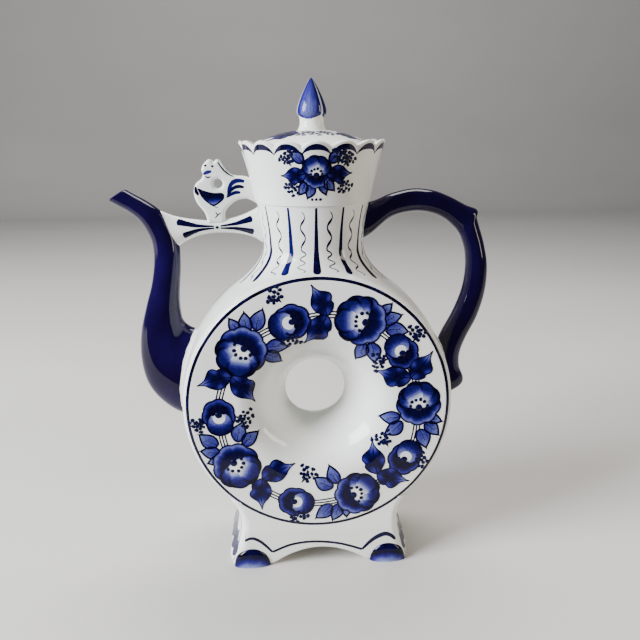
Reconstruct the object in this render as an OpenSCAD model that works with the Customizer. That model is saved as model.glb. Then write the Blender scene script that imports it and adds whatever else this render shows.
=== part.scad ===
// Ring-bodied porcelain jug teapot: a hollow upright ring on an arched stand, with a
// scalloped collar, a lift-off lid, an S-shaped spout tied to the neck by a bridge with
// a rooster on it, and a loop handle.
// Z is up, the ring's axis is Y, the spout points to -X, and Z = 0 is the table.

/* [Ring] */
// Outer radius of the ring at its mid-plane
ring_r = 84.5; // [83:0.5:86]
// How much smaller the side band is at its edges than at its middle
band_drop = 2.5; // [1.5:0.5:3]
// Half of the ring's depth, centre to front face
ring_half_depth = 39; // [38.5:0.5:41]
// Radius of the through-hole at its narrowest
throat_r = 19.3; // [17:0.1:21]
// Radius at which the flat face turns into the funnel
funnel_r = 50; // [46:1:54]
// Rounding between the flat faces and the side band
edge_r = 5; // [4.5:0.5:6]
// Thickness of the cast porcelain wall
wall = 4; // [3:0.5:4.5]

/* [Neck and collar] */
// Inside radius of the neck
neck_bore_r = 26.5; // [22:0.5:27]
// Height of the neck's top above the ring's centre
neck_top = 119; // [118:0.5:120]
// Radius of the neck at its waist
neck_waist_r = 31; // [30.5:0.5:33]
// Height of the scalloped rim above the ring's centre
rim_h = 155.5; // [154:0.5:158]
// Outside radius of the rim at the crest of a scallop
rim_r = 45.2; // [44:0.1:46]
// Number of scallops round the rim
scallops = 16; // [12:2:20]
// Depth of the dip between two scallops
scallop_dip = 3; // [1.5:0.5:4]

/* [Lid] */
// Radius of the lid
lid_r = 37.2; // [36.5:0.1:37.6]
// Rise of the lid's dome from its edge to the foot of the finial
lid_rise = 9.5; // [7:0.5:11]
// Clearance between the lid and the seat under it
lid_gap = 0.3; // [0.2:0.1:0.6]
// Height of the finial above the dome
finial_h = 30; // [26:1:34]

/* [Stand] */
// Height of the ring's lowest point above the table
stand_h = 24.5; // [23:0.5:28]
// Half width of the stand at its waist
stand_waist = 48.5; // [47:0.5:51]
// Half width of the stand at the table
stand_foot = 56; // [54:0.5:58]
// Half span of the front arch
arch_span = 31; // [28:1:33]
// Rise of the front arch
arch_rise = 11.4; // [9:0.2:13]
// Radius of the dome on the front of each foot
foot_r = 11.5; // [9:0.5:12]
// Distance of each foot's middle from the centre line
foot_x = 43.5; // [42:0.5:45]

/* [Hidden] */

ring_z = stand_h + ring_r;            // height of the ring's centre
band_r = ring_r - band_drop;          // radius of the band at its edges
flat_r = band_r - edge_r;             // outer radius of the flat face
band_y = ring_half_depth - edge_r;    // half width of the side band
seat_z = ring_z + rim_h - 6.5;        // top of the ledge that the lid rests on
seat_in_r = 33;                       // inside radius of that ledge
spout_hole_r = 8;                     // radius of the hole behind the spout
lid_shell = 3.6;                      // thickness of the lid's dome
flange_in_r = 28.5;                   // inside radius of the lid's locating ring
flange_out_r = 31.5;                  // and its outside radius
white = [0.94, 0.95, 0.93];
cobalt = [0.08, 0.07, 0.36];

// ---- shared shapes ----

// Catmull-Rom value between p1 and p2
function spline_at(p0, p1, p2, p3, t) =
    0.5 * (2 * p1 + (p2 - p0) * t + (2 * p0 - 5 * p1 + 4 * p2 - p3) * t * t
        + (3 * p1 - p0 - 3 * p2 + p3) * t * t * t);

// A list of stations with n steps from each to the next
function smoothed(list, n) = [
    for (i = [0 : len(list) - 2])
        for (k = [0 : n - 1])
            spline_at(list[max(i - 1, 0)], list[i], list[i + 1],
                list[min(i + 2, len(list) - 1)], k / n),
    list[len(list) - 1]
];

// Points of a cubic Bezier curve, n steps
function bezier(a, b, c, d, n) = [
    for (k = [0 : n])
        let (t = k / n, s = 1 - t)
            s * s * s * a + 3 * s * s * t * b + 3 * s * t * t * c + t * t * t * d
];

function reversed(list) = [for (i = [len(list) - 1 : -1 : 0]) list[i]];

// Skin over rings of equal length: closed end to end like a tyre, or capped
module skin(rings, tyre = false) {
    n = len(rings[0]);
    m = len(rings);
    points = [for (ring = rings) for (p = ring) p];
    sides = [
        for (i = [0 : tyre ? m - 1 : m - 2])
            for (j = [0 : n - 1])
                let (a = i * n + j, b = i * n + (j + 1) % n, k = (i + 1) % m * n)
                    each [[a, k + j, b], [b, k + j, k + (j + 1) % n]]
    ];
    caps = tyre ? [] : [
        [for (j = [0 : n - 1]) j],
        [for (j = [n - 1 : -1 : 0]) (m - 1) * n + j]
    ];
    polyhedron(points = points, faces = concat(sides, caps), convexity = 6);
}

// Oval ring across an arm: a station is [x, z, x, z, half depth], the arm's two edges
// measured from the ring's centre; inset shrinks it for the inside of a hollow arm
function arm_ring(s, inset, n) =
    let (
        one = [s[0], s[1] + ring_z],
        two = [s[2], s[3] + ring_z],
        mid = (one + two) / 2,
        across = (one - two) / norm(one - two),
        half = norm(one - two) / 2 - inset
    )
    [
        for (j = [0 : n - 1])
            let (t = 360 * (j + 0.5) / n)
                [
                    mid[0] + half * cos(t) * across[0],
                    (s[4] - inset) * sin(t),
                    mid[1] + half * cos(t) * across[1]
                ]
    ];

// Turns a profile of [radius, depth] about the ring's axis
module about_ring_axis() {
    translate([0, 0, ring_z])
        rotate([90, 0, 0])
            rotate_extrude($fn = 128)
                children();
}

// ---- the ring ----

// Funnel from the throat to the flat face, moved out by t
function funnel(t) = bezier(
    [throat_r + t, 0],
    [throat_r + t, 8 - t / 2],
    [throat_r + 10.7 + t, ring_half_depth - t],
    [funnel_r, ring_half_depth - t],
    14
);

// Rounded edge from the flat face to the band, moved in by t
function edge(t) = [
    for (a = [90 : -15 : 0])
        [flat_r + (edge_r - t) * cos(a), band_y + (edge_r - t) * sin(a)]
];

// Crowned side band from edge to edge, moved in by t
function band(t) = [
    for (k = [4 : -1 : -4])
        [ring_r - band_drop * pow(k / 4, 2) - t, band_y * k / 4]
];

// Whole outside of the ring, without its through-hole
module ring_envelope() {
    about_ring_axis()
        polygon(concat(
            [[0, ring_half_depth]],
            [for (k = [0 : 5]) edge(0)[k]],
            band(0),
            [for (k = [5 : -1 : 0]) [edge(0)[k][0], -edge(0)[k][1]]],
            [[0, -ring_half_depth]]
        ));
}

// Flat annular face with its rounded edge; front is the -Y one
module ring_face(front) {
    color(white)
        mirror([0, front ? 0 : 1, 0])
            about_ring_axis()
                polygon(concat(
                    [[funnel_r, ring_half_depth]],
                    edge(0),
                    reversed(edge(wall)),
                    [[funnel_r, ring_half_depth - wall]]
                ));
}

module ring_front_face() ring_face(true);

module ring_back_face() ring_face(false);

// Side wall, pierced for the neck and behind the spout
module ring_side_band() {
    color(white)
        difference() {
            about_ring_axis()
                polygon(concat(band(0), reversed(band(wall))));
            translate([0, 0, ring_z + ring_r / 2])
                cylinder(r = neck_bore_r, h = ring_r, $fn = 96);
            translate([0, 0, ring_z + 12])
                rotate([0, -90, 0])
                    cylinder(r = spout_hole_r, h = 2 * ring_r, $fn = 48);
        }
}

// Double funnel round the through-hole
module ring_throat() {
    outside = funnel(0);
    inside = funnel(wall);
    color(white)
        about_ring_axis()
            polygon(concat(
                [for (p = reversed(outside)) [p[0], -p[1]]],
                outside,
                reversed(inside),
                [for (p = inside) [p[0], -p[1]]]
            ));
}

// ---- neck, collar and the ledge for the lid ----

// Stations of the neck: height above the ring's centre, half width, half depth
neck_stations = [
    [52, 63, 37.5],
    [60, 56, 37.8],
    [69, 45.6, 37.8],
    [75, 39.8, 37.2],
    [81, 35.5, 35.6],
    [87, 32.6, 33],
    [94, neck_waist_r, neck_waist_r + 0.2],
    [102, neck_waist_r + 0.7, neck_waist_r + 0.7],
    [110, neck_waist_r + 2, neck_waist_r + 2],
    [neck_top, neck_waist_r + 3.6, neck_waist_r + 3.6]
];

module neck_envelope() {
    skin([
        for (s = smoothed(neck_stations, 2))
            [for (a = [0 : 7.5 : 352.5]) [s[1] * cos(a), s[2] * sin(a), s[0] + ring_z]]
    ]);
}

module neck() {
    color(white)
        difference() {
            neck_envelope();
            ring_envelope();
            translate([0, 0, ring_z])
                cylinder(r = neck_bore_r, h = 2 * neck_top, $fn = 96);
        }
}

// Outside radius of the collar by its share of the height, 0 to 1
function collar_r(u) = neck_waist_r + 4.4 + (rim_r - neck_waist_r - 4.4) * pow(u, 1.25);

// Ripple of the scallops, 1 on a crest and 0 in a dip
function ripple(a) = abs(cos(scallops * (a + 90) / 2));

// One turn round the collar: share of the height, distance in from the outside wall
function collar_turn(u, inward) = [
    for (j = [0 : 8 * scallops - 1])
        let (
            a = 360 * j / (8 * scallops) - 90,
            wave = ripple(a) * pow(u, 6),
            top = rim_h - scallop_dip * (1 - ripple(a)) * pow(u, 3),
            r = collar_r(u) - 0.8 * pow(u, 6) + 0.8 * wave - inward
        )
            [r * cos(a), r * sin(a), ring_z + neck_top + (top - neck_top) * u]
];

module collar() {
    outer_steps = [0, 0.15, 0.35, 0.55, 0.7, 0.82, 0.91, 0.97];
    color(white)
        skin(concat(
            [for (u = outer_steps) collar_turn(u, 0)],
            [collar_turn(1, 0.7), collar_turn(1, 2.2)],
            [for (u = reversed(outer_steps)) collar_turn(u, 3 + 1.4 * (1 - u))]
        ), true);
}

// Inside radius of the collar at a height above the ring's centre
function collar_in_r(h) =
    let (u = (h - neck_top) / (rim_h - neck_top))
        collar_r(u) - 0.8 * pow(u, 6) - 3 - 1.4 * (1 - u);

module lid_seat() {
    top = seat_z - ring_z;
    color(white)
        rotate_extrude($fn = 96)
            polygon([
                [seat_in_r, seat_z],
                [seat_in_r, seat_z - 2.5],
                [collar_in_r(top - 5) - 0.6, seat_z - 5],
                [collar_in_r(top) - 0.6, seat_z]
            ]);
}

// ---- stand and feet ----

// Half width of the stand by height
function stand_half(z) =
    let (waist_z = 30)
        z < waist_z
            ? stand_waist + (stand_foot - stand_waist) * pow(1 - z / waist_z, 1.8)
            : stand_waist + 6.5 * pow((z - waist_z) / 17, 2);

// Half depth of the stand by height, drawn in a little at the table
function stand_depth(z) = ring_half_depth - 0.4 - 3 * max(0, 1 - z / 25);

// Level outline of the stand at a height, its sides bulging towards mid-depth
function stand_outline(z) =
    let (
        depth = stand_depth(z),
        half = stand_half(z) - (z == 0 ? 1 : 0),
        side = [for (k = [-6 : 6]) [half * (1.09 - 0.09 * pow(k / 6, 2)), depth * k / 6, z]]
    )
    concat(side, [for (p = reversed(side)) [-p[0], p[1], z]]);

// Round arch of a given half span and rise, cut along a direction
module arch_cut(span, rise, turn) {
    r = (span * span + rise * rise) / (2 * rise);
    rotate(turn)
        translate([0, 100, rise - r])
            rotate([90, 0, 0])
                cylinder(r = r, h = 200, $fn = 128);
}

module stand_envelope() {
    skin([for (z = [0, 2, 5, 10, 15, 20, 25, 30, 36, 42, 47]) stand_outline(z)]);
}

module stand() {
    color(white)
        difference() {
            stand_envelope();
            ring_envelope();
            arch_cut(arch_span, arch_rise, 0);
            arch_cut(22, 7, 90);
        }
}

// Half-round dome on the face of a corner of the stand
module foot(side, front) {
    bulge = 4.4;
    lean = atan(3 / 25); // the face's lean at the foot
    color(cobalt)
        mirror([0, front ? 0 : 1, 0])
            difference() {
                translate([side * foot_x, 1 - stand_depth(0), 0])
                    rotate([90 + lean, 0, 0])
                        rotate_extrude($fn = 64)
                            polygon(concat(
                                [[0, 0]],
                                [for (a = [0 : 10 : 90]) [foot_r * cos(a), bulge * sin(a)]]
                            ));
                stand_envelope();
                translate([side * foot_x - 20, -60, -20])
                    cube([40, 60, 20]);
            }
}

module foot_front_left() foot(-1, true);

module foot_front_right() foot(1, true);

module foot_back_left() foot(-1, false);

module foot_back_right() foot(1, false);

// ---- spout, bridge, rooster and handle ----

// Spout, root to mouth: upper edge, lower edge, half depth
spout_stations = [
    [-70, 40, -72, -16, 15],
    [-77.5, 41.5, -87, -15, 14.6],
    [-82.6, 46, -99.5, -6, 13.6],
    [-84, 53, -107.5, 6, 12.6],
    [-84.2, 61, -110.6, 22, 11.6],
    [-83.6, 69, -109.6, 39, 10.6],
    [-82.8, 77, -105.6, 55, 9.6],
    [-82.4, 85, -101, 70, 8.8],
    [-82.4, 92.5, -98.6, 84, 8.2],
    [-83.6, 100.5, -98.8, 95, 7.8],
    [-87.5, 109, -101.8, 103.5, 7.4],
    [-93.5, 116, -106, 110, 6.9],
    [-101, 121.5, -111.5, 114.8, 6.4],
    [-107.5, 125.2, -117.3, 118.3, 6],
    [-112.6, 128.2, -123, 121.6, 5.6]
];

module spout_envelope() {
    skin([for (s = smoothed(spout_stations, 2)) arm_ring(s, 0, 24)]);
}

module spout() {
    steps = smoothed(spout_stations, 2);
    last = len(steps) - 1;
    color(cobalt)
        difference() {
            skin(concat(
                [for (s = steps) arm_ring(s, 0, 24)],
                [arm_ring(steps[last] + [-0.5, 0.5, -0.5, 0.5, 0], 1, 24)],
                [for (k = [last : -1 : 0]) arm_ring(steps[k], 3.2 - 1 * k / last, 24)]
            ), true);
            ring_envelope();
        }
}

// Bridge, spout to neck: x, top, bottom (above the ring's centre), half depth
bridge_stations = [
    [-93, 115.5, 90, 6],
    [-86, 112.6, 91.5, 5.6],
    [-80, 111, 95.5, 5.2],
    [-72, 109.7, 99.3, 4.8],
    [-62, 108.8, 101.3, 4.6],
    [-52, 109.9, 101.3, 4.8],
    [-44, 111.9, 100.3, 5.2],
    [-37, 114.9, 98.2, 5.8],
    [-30, 119, 94, 6.6]
];

module bridge_envelope() {
    skin([
        for (s = smoothed(bridge_stations, 2))
            arm_ring([s[0], s[1], s[0], s[2], s[3]], 0, 20)
    ]);
}

module bridge() {
    color(white)
        difference() {
            bridge_envelope();
            spout_envelope();
            neck_envelope();
        }
}

// Outline of the rooster, counter-clockwise, from the ring's centre
rooster_outline = [
    [-64.4, 108.5], [-54.8, 108.5], [-53.5, 114], [-51.5, 117], [-48, 120],
    [-44.5, 121.6], [-39.5, 121.8], [-34.5, 120.6], [-34.5, 133.8], [-38, 134.4],
    [-41.5, 135.4], [-47.5, 136], [-51.5, 138.2], [-54, 141.6], [-55.8, 144.8],
    [-57.6, 145.4], [-59.2, 144.2], [-60.4, 145], [-62, 145.6], [-63.6, 144.6],
    [-65.4, 142.8], [-66.8, 139.6], [-66, 136.6], [-67.2, 134], [-70.2, 131.6],
    [-71.8, 128], [-71.6, 123.4], [-69.8, 119], [-66.8, 115.2], [-65.2, 112]
];

module rooster() {
    thick = 8.4;
    color(white)
        difference() {
            translate([0, thick / 2, ring_z])
                rotate([90, 0, 0])
                    linear_extrude(thick)
                        polygon(smoothed(rooster_outline, 2));
            translate([-57.1, thick, ring_z + 131.2])
                rotate([90, 0, 0])
                    cylinder(r = 2.7, h = 2 * thick, $fn = 32);
            bridge_envelope();
            skin([collar_turn(0, 0), collar_turn(0.35, 0), collar_turn(0.7, 0)]);
            neck_envelope();
        }
}

// Handle, neck to foot: outer edge, inner edge, half depth
handle_stations = [
    [27, 117, 27, 94, 8.6],
    [37.5, 119.3, 36, 99, 8.2],
    [49, 123.8, 48.7, 109, 7.4],
    [62.3, 126.4, 62.4, 112.3, 7],
    [75, 125, 73.6, 111.1, 6.9],
    [86, 120.8, 82.3, 107.3, 6.9],
    [95.5, 115.8, 88.7, 101.9, 6.8],
    [102.8, 112.6, 91.4, 98.8, 6.4],
    [103, 107, 93.4, 95, 6.8],
    [107.8, 92, 96.1, 86.3, 7],
    [110.7, 77, 96.8, 75, 7],
    [110, 61, 95, 62, 7.2],
    [105.6, 44.6, 89.6, 47.5, 7.4],
    [99, 31, 82.5, 34, 7.6],
    [95.2, 20, 78, 22, 7.8],
    [95.3, 10.8, 76, 11, 7.8],
    [98.2, 2.8, 76, 1, 7.4],
    [97, -1.8, 76, -4, 6.8],
    [91.5, -5.4, 76, -7, 6]
];

module handle() {
    color(cobalt)
        difference() {
            skin([for (s = smoothed(handle_stations, 2)) arm_ring(s, 0, 20)]);
            ring_envelope();
            neck_envelope();
        }
}

// ---- lid ----

// Top of the dome by distance from the axis
dome_z = seat_z + lid_gap;
edge_h = 2.8;
function dome_top(r) = dome_z + edge_h + lid_rise * (1 - pow(r / lid_r, 2));

module lid_dome() {
    steps = [for (k = [0 : 8]) lid_r * k / 8];
    inside = [flange_out_r, flange_in_r, 24, 20, 16, 12, 8, 4, 0];
    color(white)
        rotate_extrude($fn = 128)
            polygon(concat(
                [for (r = steps) [r, dome_top(r)]],
                [[lid_r, dome_z], [flange_out_r, dome_z]],
                [for (r = inside) [r, dome_top(r) - lid_shell]]
            ));
}

// Locating ring under the dome, inside the ledge
module lid_flange() {
    color(white)
        rotate_extrude($fn = 96)
            polygon([
                [flange_out_r, dome_z - 9],
                [flange_in_r, dome_z - 10],
                [flange_in_r, dome_top(flange_in_r) - lid_shell],
                [flange_out_r, dome_top(flange_out_r) - lid_shell]
            ]);
}

// Stem and teardrop: radius and share of the height
finial_profile = [
    [8.6, 0], [7.6, 0.07], [7.2, 0.16], [7.5, 0.25], [8.7, 0.31], [8.9, 0.37],
    [8.4, 0.46], [7.1, 0.58], [5.4, 0.71], [3.4, 0.84], [1.6, 0.94], [0, 1]
];

module finial() {
    foot_r = finial_profile[0][0];
    base = dome_top(foot_r);
    color(cobalt)
        rotate_extrude($fn = 64)
            polygon(concat(
                [[0, dome_top(0)], [foot_r / 2, dome_top(foot_r / 2)]],
                [for (p = finial_profile) [p[0], base + finial_h * p[1]]]
            ));
}

ring_front_face();
ring_back_face();
ring_side_band();
ring_throat();
neck();
collar();
lid_seat();
stand();
foot_front_left();
foot_front_right();
foot_back_left();
foot_back_right();
spout();
bridge();
rooster();
handle();
lid_dome();
lid_flange();
finial();
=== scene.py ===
import math
import random

import bmesh
import bpy
import numpy as np
from mathutils import Matrix, Vector


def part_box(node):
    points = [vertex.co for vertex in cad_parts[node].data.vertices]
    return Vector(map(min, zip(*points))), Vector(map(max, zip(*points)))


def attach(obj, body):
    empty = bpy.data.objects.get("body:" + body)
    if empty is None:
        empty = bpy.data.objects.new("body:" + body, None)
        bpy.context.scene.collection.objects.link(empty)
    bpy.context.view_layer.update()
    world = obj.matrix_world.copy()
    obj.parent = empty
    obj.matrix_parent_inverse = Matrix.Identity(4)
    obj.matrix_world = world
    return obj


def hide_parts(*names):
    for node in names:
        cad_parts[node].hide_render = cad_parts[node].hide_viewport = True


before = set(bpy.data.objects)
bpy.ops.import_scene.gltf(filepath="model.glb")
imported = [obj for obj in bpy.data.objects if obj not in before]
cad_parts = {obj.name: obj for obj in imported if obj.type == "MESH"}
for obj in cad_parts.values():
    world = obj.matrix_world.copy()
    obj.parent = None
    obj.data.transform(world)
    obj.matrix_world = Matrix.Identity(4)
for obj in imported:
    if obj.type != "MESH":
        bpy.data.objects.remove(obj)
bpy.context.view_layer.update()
scene = bpy.context.scene

# ---- Camera ----
# Stands less than half a metre in front of the pot, a little above its shoulder and a little
# to the spout's side, looking slightly down.
pan, tilt, roll = (math.radians(degrees) for degrees in (-3.7, 90 - 14.5, -0.6))
turn = Matrix.Rotation(pan, 4, "Z") @ Matrix.Rotation(tilt, 4, "X") @ Matrix.Rotation(roll, 4, "Z")
camera_data = bpy.data.cameras.new("camera")
camera_data.sensor_width = 36
camera_data.lens = 40.6
camera_data.clip_start = 0.01
camera = bpy.data.objects.new("camera", camera_data)
camera.matrix_world = Matrix.Translation((-0.0252, -0.4471, 0.2681)) @ turn
scene.collection.objects.link(camera)
scene.camera = camera

# ---- White porcelain under clear glaze ----
# Slip-cast white body with a thick transparent gloss glaze: a slightly greenish, cool white,
# mirror-smooth but for the faint waviness that a fired glaze keeps.


def linear(code):
    """sRGB hex to linear RGBA."""
    parts = [int(code[i:i + 2], 16) / 255 for i in (1, 3, 5)]
    return [c / 12.92 if c <= 0.04045 else ((c + 0.055) / 1.055) ** 2.4 for c in parts] + [1]


def add(tree, kind, links=None, **settings):
    """Adds a node, sets its inputs and properties, and links other sockets into it."""
    new = tree.nodes.new(kind)
    for key, value in settings.items():
        if key in new.inputs:
            new.inputs[key].default_value = value
        else:
            setattr(new, key, value)
    for key, socket in (links or {}).items():
        tree.links.new(socket, new.inputs[key])
    return new


def glaze(name, roughness=0.09, shine=0.32):
    """Gloss glaze: its material, tree, Object coordinates and the shader still to colour."""
    material = bpy.data.materials.new(name)
    material.use_nodes = True
    tree = material.node_tree
    tree.nodes.clear()
    place = add(tree, "ShaderNodeTexCoord").outputs["Object"]
    # the glaze pools and thins over about 12 mm
    wave = add(tree, "ShaderNodeTexNoise", {"Vector": place}, Scale=80, Detail=1)
    bump = add(tree, "ShaderNodeBump", {"Height": wave.outputs[0]}, Strength=0.05, Distance=0.0006)
    shader = add(tree, "ShaderNodeBsdfPrincipled", {"Normal": bump.outputs[0]}, IOR=1.52)
    shader.inputs["Roughness"].default_value = roughness
    shader.inputs["Specular IOR Level"].default_value = shine
    add(tree, "ShaderNodeOutputMaterial", {"Surface": shader.outputs[0]})
    return material, tree, place, shader


def ramp(tree, value, stops):
    """Colour ramp through (place, sRGB hex) stops."""
    new = add(tree, "ShaderNodeValToRGB", {"Fac": value})
    while len(new.color_ramp.elements) < len(stops):
        new.color_ramp.elements.new(0.5)
    for element, (at, code) in zip(new.color_ramp.elements, stops):
        element.position = at
        element.color = linear(code)
    return new.outputs[0]


def body_white(tree, place):
    """White of the body under the glaze, faintly mottled over about 30 mm."""
    mottle = add(tree, "ShaderNodeTexNoise", {"Vector": place}, Scale=35, Detail=4)
    return ramp(tree, mottle.outputs[0], [(0.3, "#E9EBE4"), (0.7, "#F1F2EC")])


white_glaze, tree, place, shader = glaze("white_gloss_glaze")
tree.links.new(body_white(tree, place), shader.inputs["Base Color"])

# ---- Ring: four pieces luted into one hollow doughnut ----
# Two flat faces with rounded edges, a slightly crowned side band and a double funnel for
# the hole, cast in white porcelain and smoothed together before firing.
MM = 0.001
band_low, band_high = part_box("ring_side_band")
ring_z = (band_low[2] + band_high[2]) / 2 / MM
ring_r = (band_high[0] - band_low[0]) / 2 / MM
half_depth = -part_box("ring_front_face")[0][1] / MM
throat_r, funnel_r, edge_r, wall = 19.3, 50, 5, 4
# how far the funnel's curve runs straight in along the throat, and out before it turns flat
throat_run, face_run = 8, 10.7
crown = math.radians(8.4)
edge_y = half_depth - edge_r
join_y = edge_y + edge_r * math.sin(crown)
crown_k = math.tan(crown) / (2 * join_y)
flat_r = ring_r - crown_k * join_y ** 2 - edge_r * math.cos(crown)


def eased(n):
    """n + 1 values from 0 to 1, closest together at both ends."""
    return (1 - np.cos(np.linspace(0, math.pi, n + 1))) / 2


def bezier(a, b, c, d, t):
    """Points of a cubic Bezier curve at each t."""
    t = np.asarray(t)[..., None]
    a, b, c, d = (np.asarray(p, float) for p in (a, b, c, d))
    return (1 - t) ** 3 * a + 3 * (1 - t) ** 2 * t * b + 3 * (1 - t) * t * t * c + t ** 3 * d


def funnel(inset, n=60):
    """Funnel from the throat to the flat face as rows of radius, depth."""
    y = half_depth - inset
    start, end = (throat_r + inset, 0), (funnel_r, y)
    return bezier(start, (start[0], throat_run), (start[0] + face_run, y), end, eased(n))


def rounded_edge(inset, n=24):
    """Edge from the flat face round to the side band."""
    a = math.pi / 2 + (crown - math.pi / 2) * eased(n)
    r = edge_r - inset
    return np.stack([flat_r + r * np.cos(a), edge_y + r * np.sin(a)], 1)


def side_band(inset, n=40):
    """Crowned side band from front to back."""
    y = join_y * (2 * eased(n) - 1)
    return np.stack([ring_r - crown_k * y * y - inset, y], 1)


def ring_depth(r):
    """Depth of the ring's front surface at a distance from its axis."""
    table = funnel(0)
    out = np.interp(r, table[:, 0], table[:, 1])
    over = np.clip(r - flat_r, 0, edge_r * 0.995)
    return np.where(r > flat_r, edge_y + np.sqrt(edge_r ** 2 - over ** 2), out)


def ring_radius(y):
    """Outer radius of the ring at a depth from its middle."""
    over = np.clip(np.abs(y) - edge_y, 0, edge_r)
    return np.where(
        np.abs(y) <= join_y,
        ring_r - crown_k * y * y,
        flat_r + np.sqrt(edge_r ** 2 - over ** 2),
    )


def make(name, points, faces, material, sharp=40):
    """Mesh object from points in millimetres, smooth but for edges over the sharp angle."""
    mesh = bpy.data.meshes.new(name)
    mesh.from_pydata((np.asarray(points) * MM).tolist(), [], faces)
    mesh.shade_smooth()
    mesh.set_sharp_from_angle(angle=math.radians(sharp))
    mesh.materials.append(material)
    obj = bpy.data.objects.new(name, mesh)
    scene.collection.objects.link(obj)
    return obj


def quads(rows, columns, tyre=True):
    """Quads over a grid whose columns wrap; its rows wrap too on a tyre."""
    i = np.arange(rows if tyre else rows - 1)[:, None]
    j = np.arange(columns)[None, :]
    k, m = (i + 1) % rows, (j + 1) % columns
    corners = [i * columns + j, i * columns + m, k * columns + m, k * columns + j]
    return np.stack(np.broadcast_arrays(*corners), -1).reshape(-1, 4).tolist()


def outward(obj):
    """Turns every face of a closed mesh to point out."""
    work = bmesh.new()
    work.from_mesh(obj.data)
    bmesh.ops.recalc_face_normals(work, faces=work.faces)
    work.to_mesh(obj.data)
    work.free()
    return obj


def turned(name, profile, material, columns=256, axis="Z"):
    """Closed profile of radius and height turned about Z, or about the ring's axis."""
    a = np.linspace(0, 2 * math.pi, columns, endpoint=False)
    r, h = np.asarray(profile)[:, 0][:, None], np.asarray(profile)[:, 1][:, None]
    if axis == "Z":
        parts = [r * np.cos(a), r * np.sin(a), h + 0 * a]
    else:
        parts = [r * np.cos(a), -h + 0 * a, ring_z + r * np.sin(a)]
    points = np.stack(parts, -1).reshape(-1, 3)
    return outward(make(name, points, quads(len(profile), columns), material))


def fit(obj, body, slot, *nodes):
    """Rides on a body and stands for CAD nodes; the slot is not used."""
    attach(obj, body)
    if nodes:
        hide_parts(*nodes)


def cut(obj, cutters):
    """Takes the cutters' shapes out of obj and removes them."""
    for cutter in cutters:
        modifier = obj.modifiers.new("cut", "BOOLEAN")
        modifier.object = cutter
        modifier.solver = "EXACT"
        settle(obj)
        bpy.data.objects.remove(cutter)


def settle(obj):
    """Applies obj's modifiers to its mesh."""
    graph = bpy.context.evaluated_depsgraph_get()
    mesh = bpy.data.meshes.new_from_object(obj.evaluated_get(graph))
    obj.modifiers.clear()
    obj.data = mesh


face_shell = np.concatenate([
    [(r, half_depth) for r in np.linspace(funnel_r, flat_r - 1, 10)],
    rounded_edge(0),
    rounded_edge(wall, 8)[::-1],
    [(funnel_r, half_depth - wall)],
])
for name, side in (("ring_front_face", 1), ("ring_back_face", -1)):
    piece = turned("porcelain_" + name, face_shell * (1, side), white_glaze, axis="Y")
    fit(piece, "pot", "white_glaze", name)

half = funnel(0)
inner = funnel(wall, 20)
throat_shell = np.concatenate([half[::-1], half[1:] * (1, -1), inner[::-1] * (1, -1), inner[1:]])
piece = turned("porcelain_ring_throat", throat_shell, white_glaze, axis="Y")
fit(piece, "pot", "white_glaze", "ring_throat")

band_shell = np.concatenate([side_band(0), side_band(wall, 12)[::-1]])
piece = turned("porcelain_ring_side_band", band_shell, white_glaze, axis="Y")
neck_bore_r, spout_hole_r, spout_hole_rise = 26.5, 8, 12


def plug(name, r, low, high, columns):
    """Upright round cutter."""
    profile = [(0.01, low), (r, low), (r, high), (0.01, high)]
    return turned(name, profile, white_glaze, columns)


bore = plug("bore", neck_bore_r, 160, 230, 96)
hole = plug("hole", spout_hole_r, 60, 100, 48)
move = Matrix.Translation((0, 0, (ring_z + spout_hole_rise) * MM))
hole.data.transform(move @ Matrix.Rotation(-math.pi / 2, 4, "Y"))
cut(piece, [bore, hole])
fit(piece, "pot", "white_glaze", "ring_side_band")

# ---- Neck ----
# Drawn in to a narrow waist above the ring and flared out over its shoulders, with no
# visible seam: the flare ends lying along the ring's own surface.
neck_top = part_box("neck")[1][2] / MM
bore_foot_z, waist_z, waist_r, neck_top_r = ring_z + 78, ring_z + 94, 31.1, 34.6
flare_x, flare_y = 60.5, 38.4
flare_share = 0.6


def ring_land(a):
    """Where the flare meets the ring at each angle, and the ring's slope there."""
    x, y = flare_x * np.cos(a), flare_y * np.sin(a)
    step = 0.01
    rise = np.sqrt(ring_radius(y) ** 2 - x * x)
    slope = (ring_radius(y + step) - ring_radius(y - step)) / (2 * step)
    normal = np.stack([x, -slope * ring_radius(y), rise], -1)
    normal /= np.linalg.norm(normal, axis=-1, keepdims=True)
    away = np.stack([np.cos(a) * flare_y, np.sin(a) * flare_x, 0 * a], -1)
    away -= (away * normal).sum(-1, keepdims=True) * normal
    away /= np.linalg.norm(away, axis=-1, keepdims=True)
    return np.stack([x, y, ring_z + rise], -1), away


def around_pot(r, a, z):
    """Points at a radius, angle and height about the pot's upright axis."""
    return np.stack([r * np.cos(a), r * np.sin(a), z + 0 * a], -1)


def neck_point(a, v):
    """Neck surface by angle and share of the way up, 0 on the ring and 1 under the collar."""
    a, v = np.broadcast_arrays(np.asarray(a, float), np.asarray(v, float))
    land, away = ring_land(a)
    t = np.clip(v / flare_share, 0, 1)[..., None]
    top = around_pot(waist_r, a, waist_z)
    reach = (land[..., 2:] - waist_z) * -0.42
    high = top - reach * np.array([0, 0, 1.0])
    low = land - away * reach
    flare = (1 - t) ** 3 * land + 3 * (1 - t) ** 2 * t * low + 3 * (1 - t) * t * t * high
    flare += t ** 3 * top
    u = np.clip((v - flare_share) / (1 - flare_share), 0, 1)
    r = waist_r + (neck_top_r - waist_r) * u ** 1.8
    straight = around_pot(r, a, waist_z + (neck_top - waist_z) * u)
    return np.where(v[..., None] <= flare_share, flare, straight)


columns = np.linspace(0, 2 * math.pi, 256, endpoint=False)
rows = [neck_point(columns, v) for v in np.linspace(1, 0, 61)]
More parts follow.
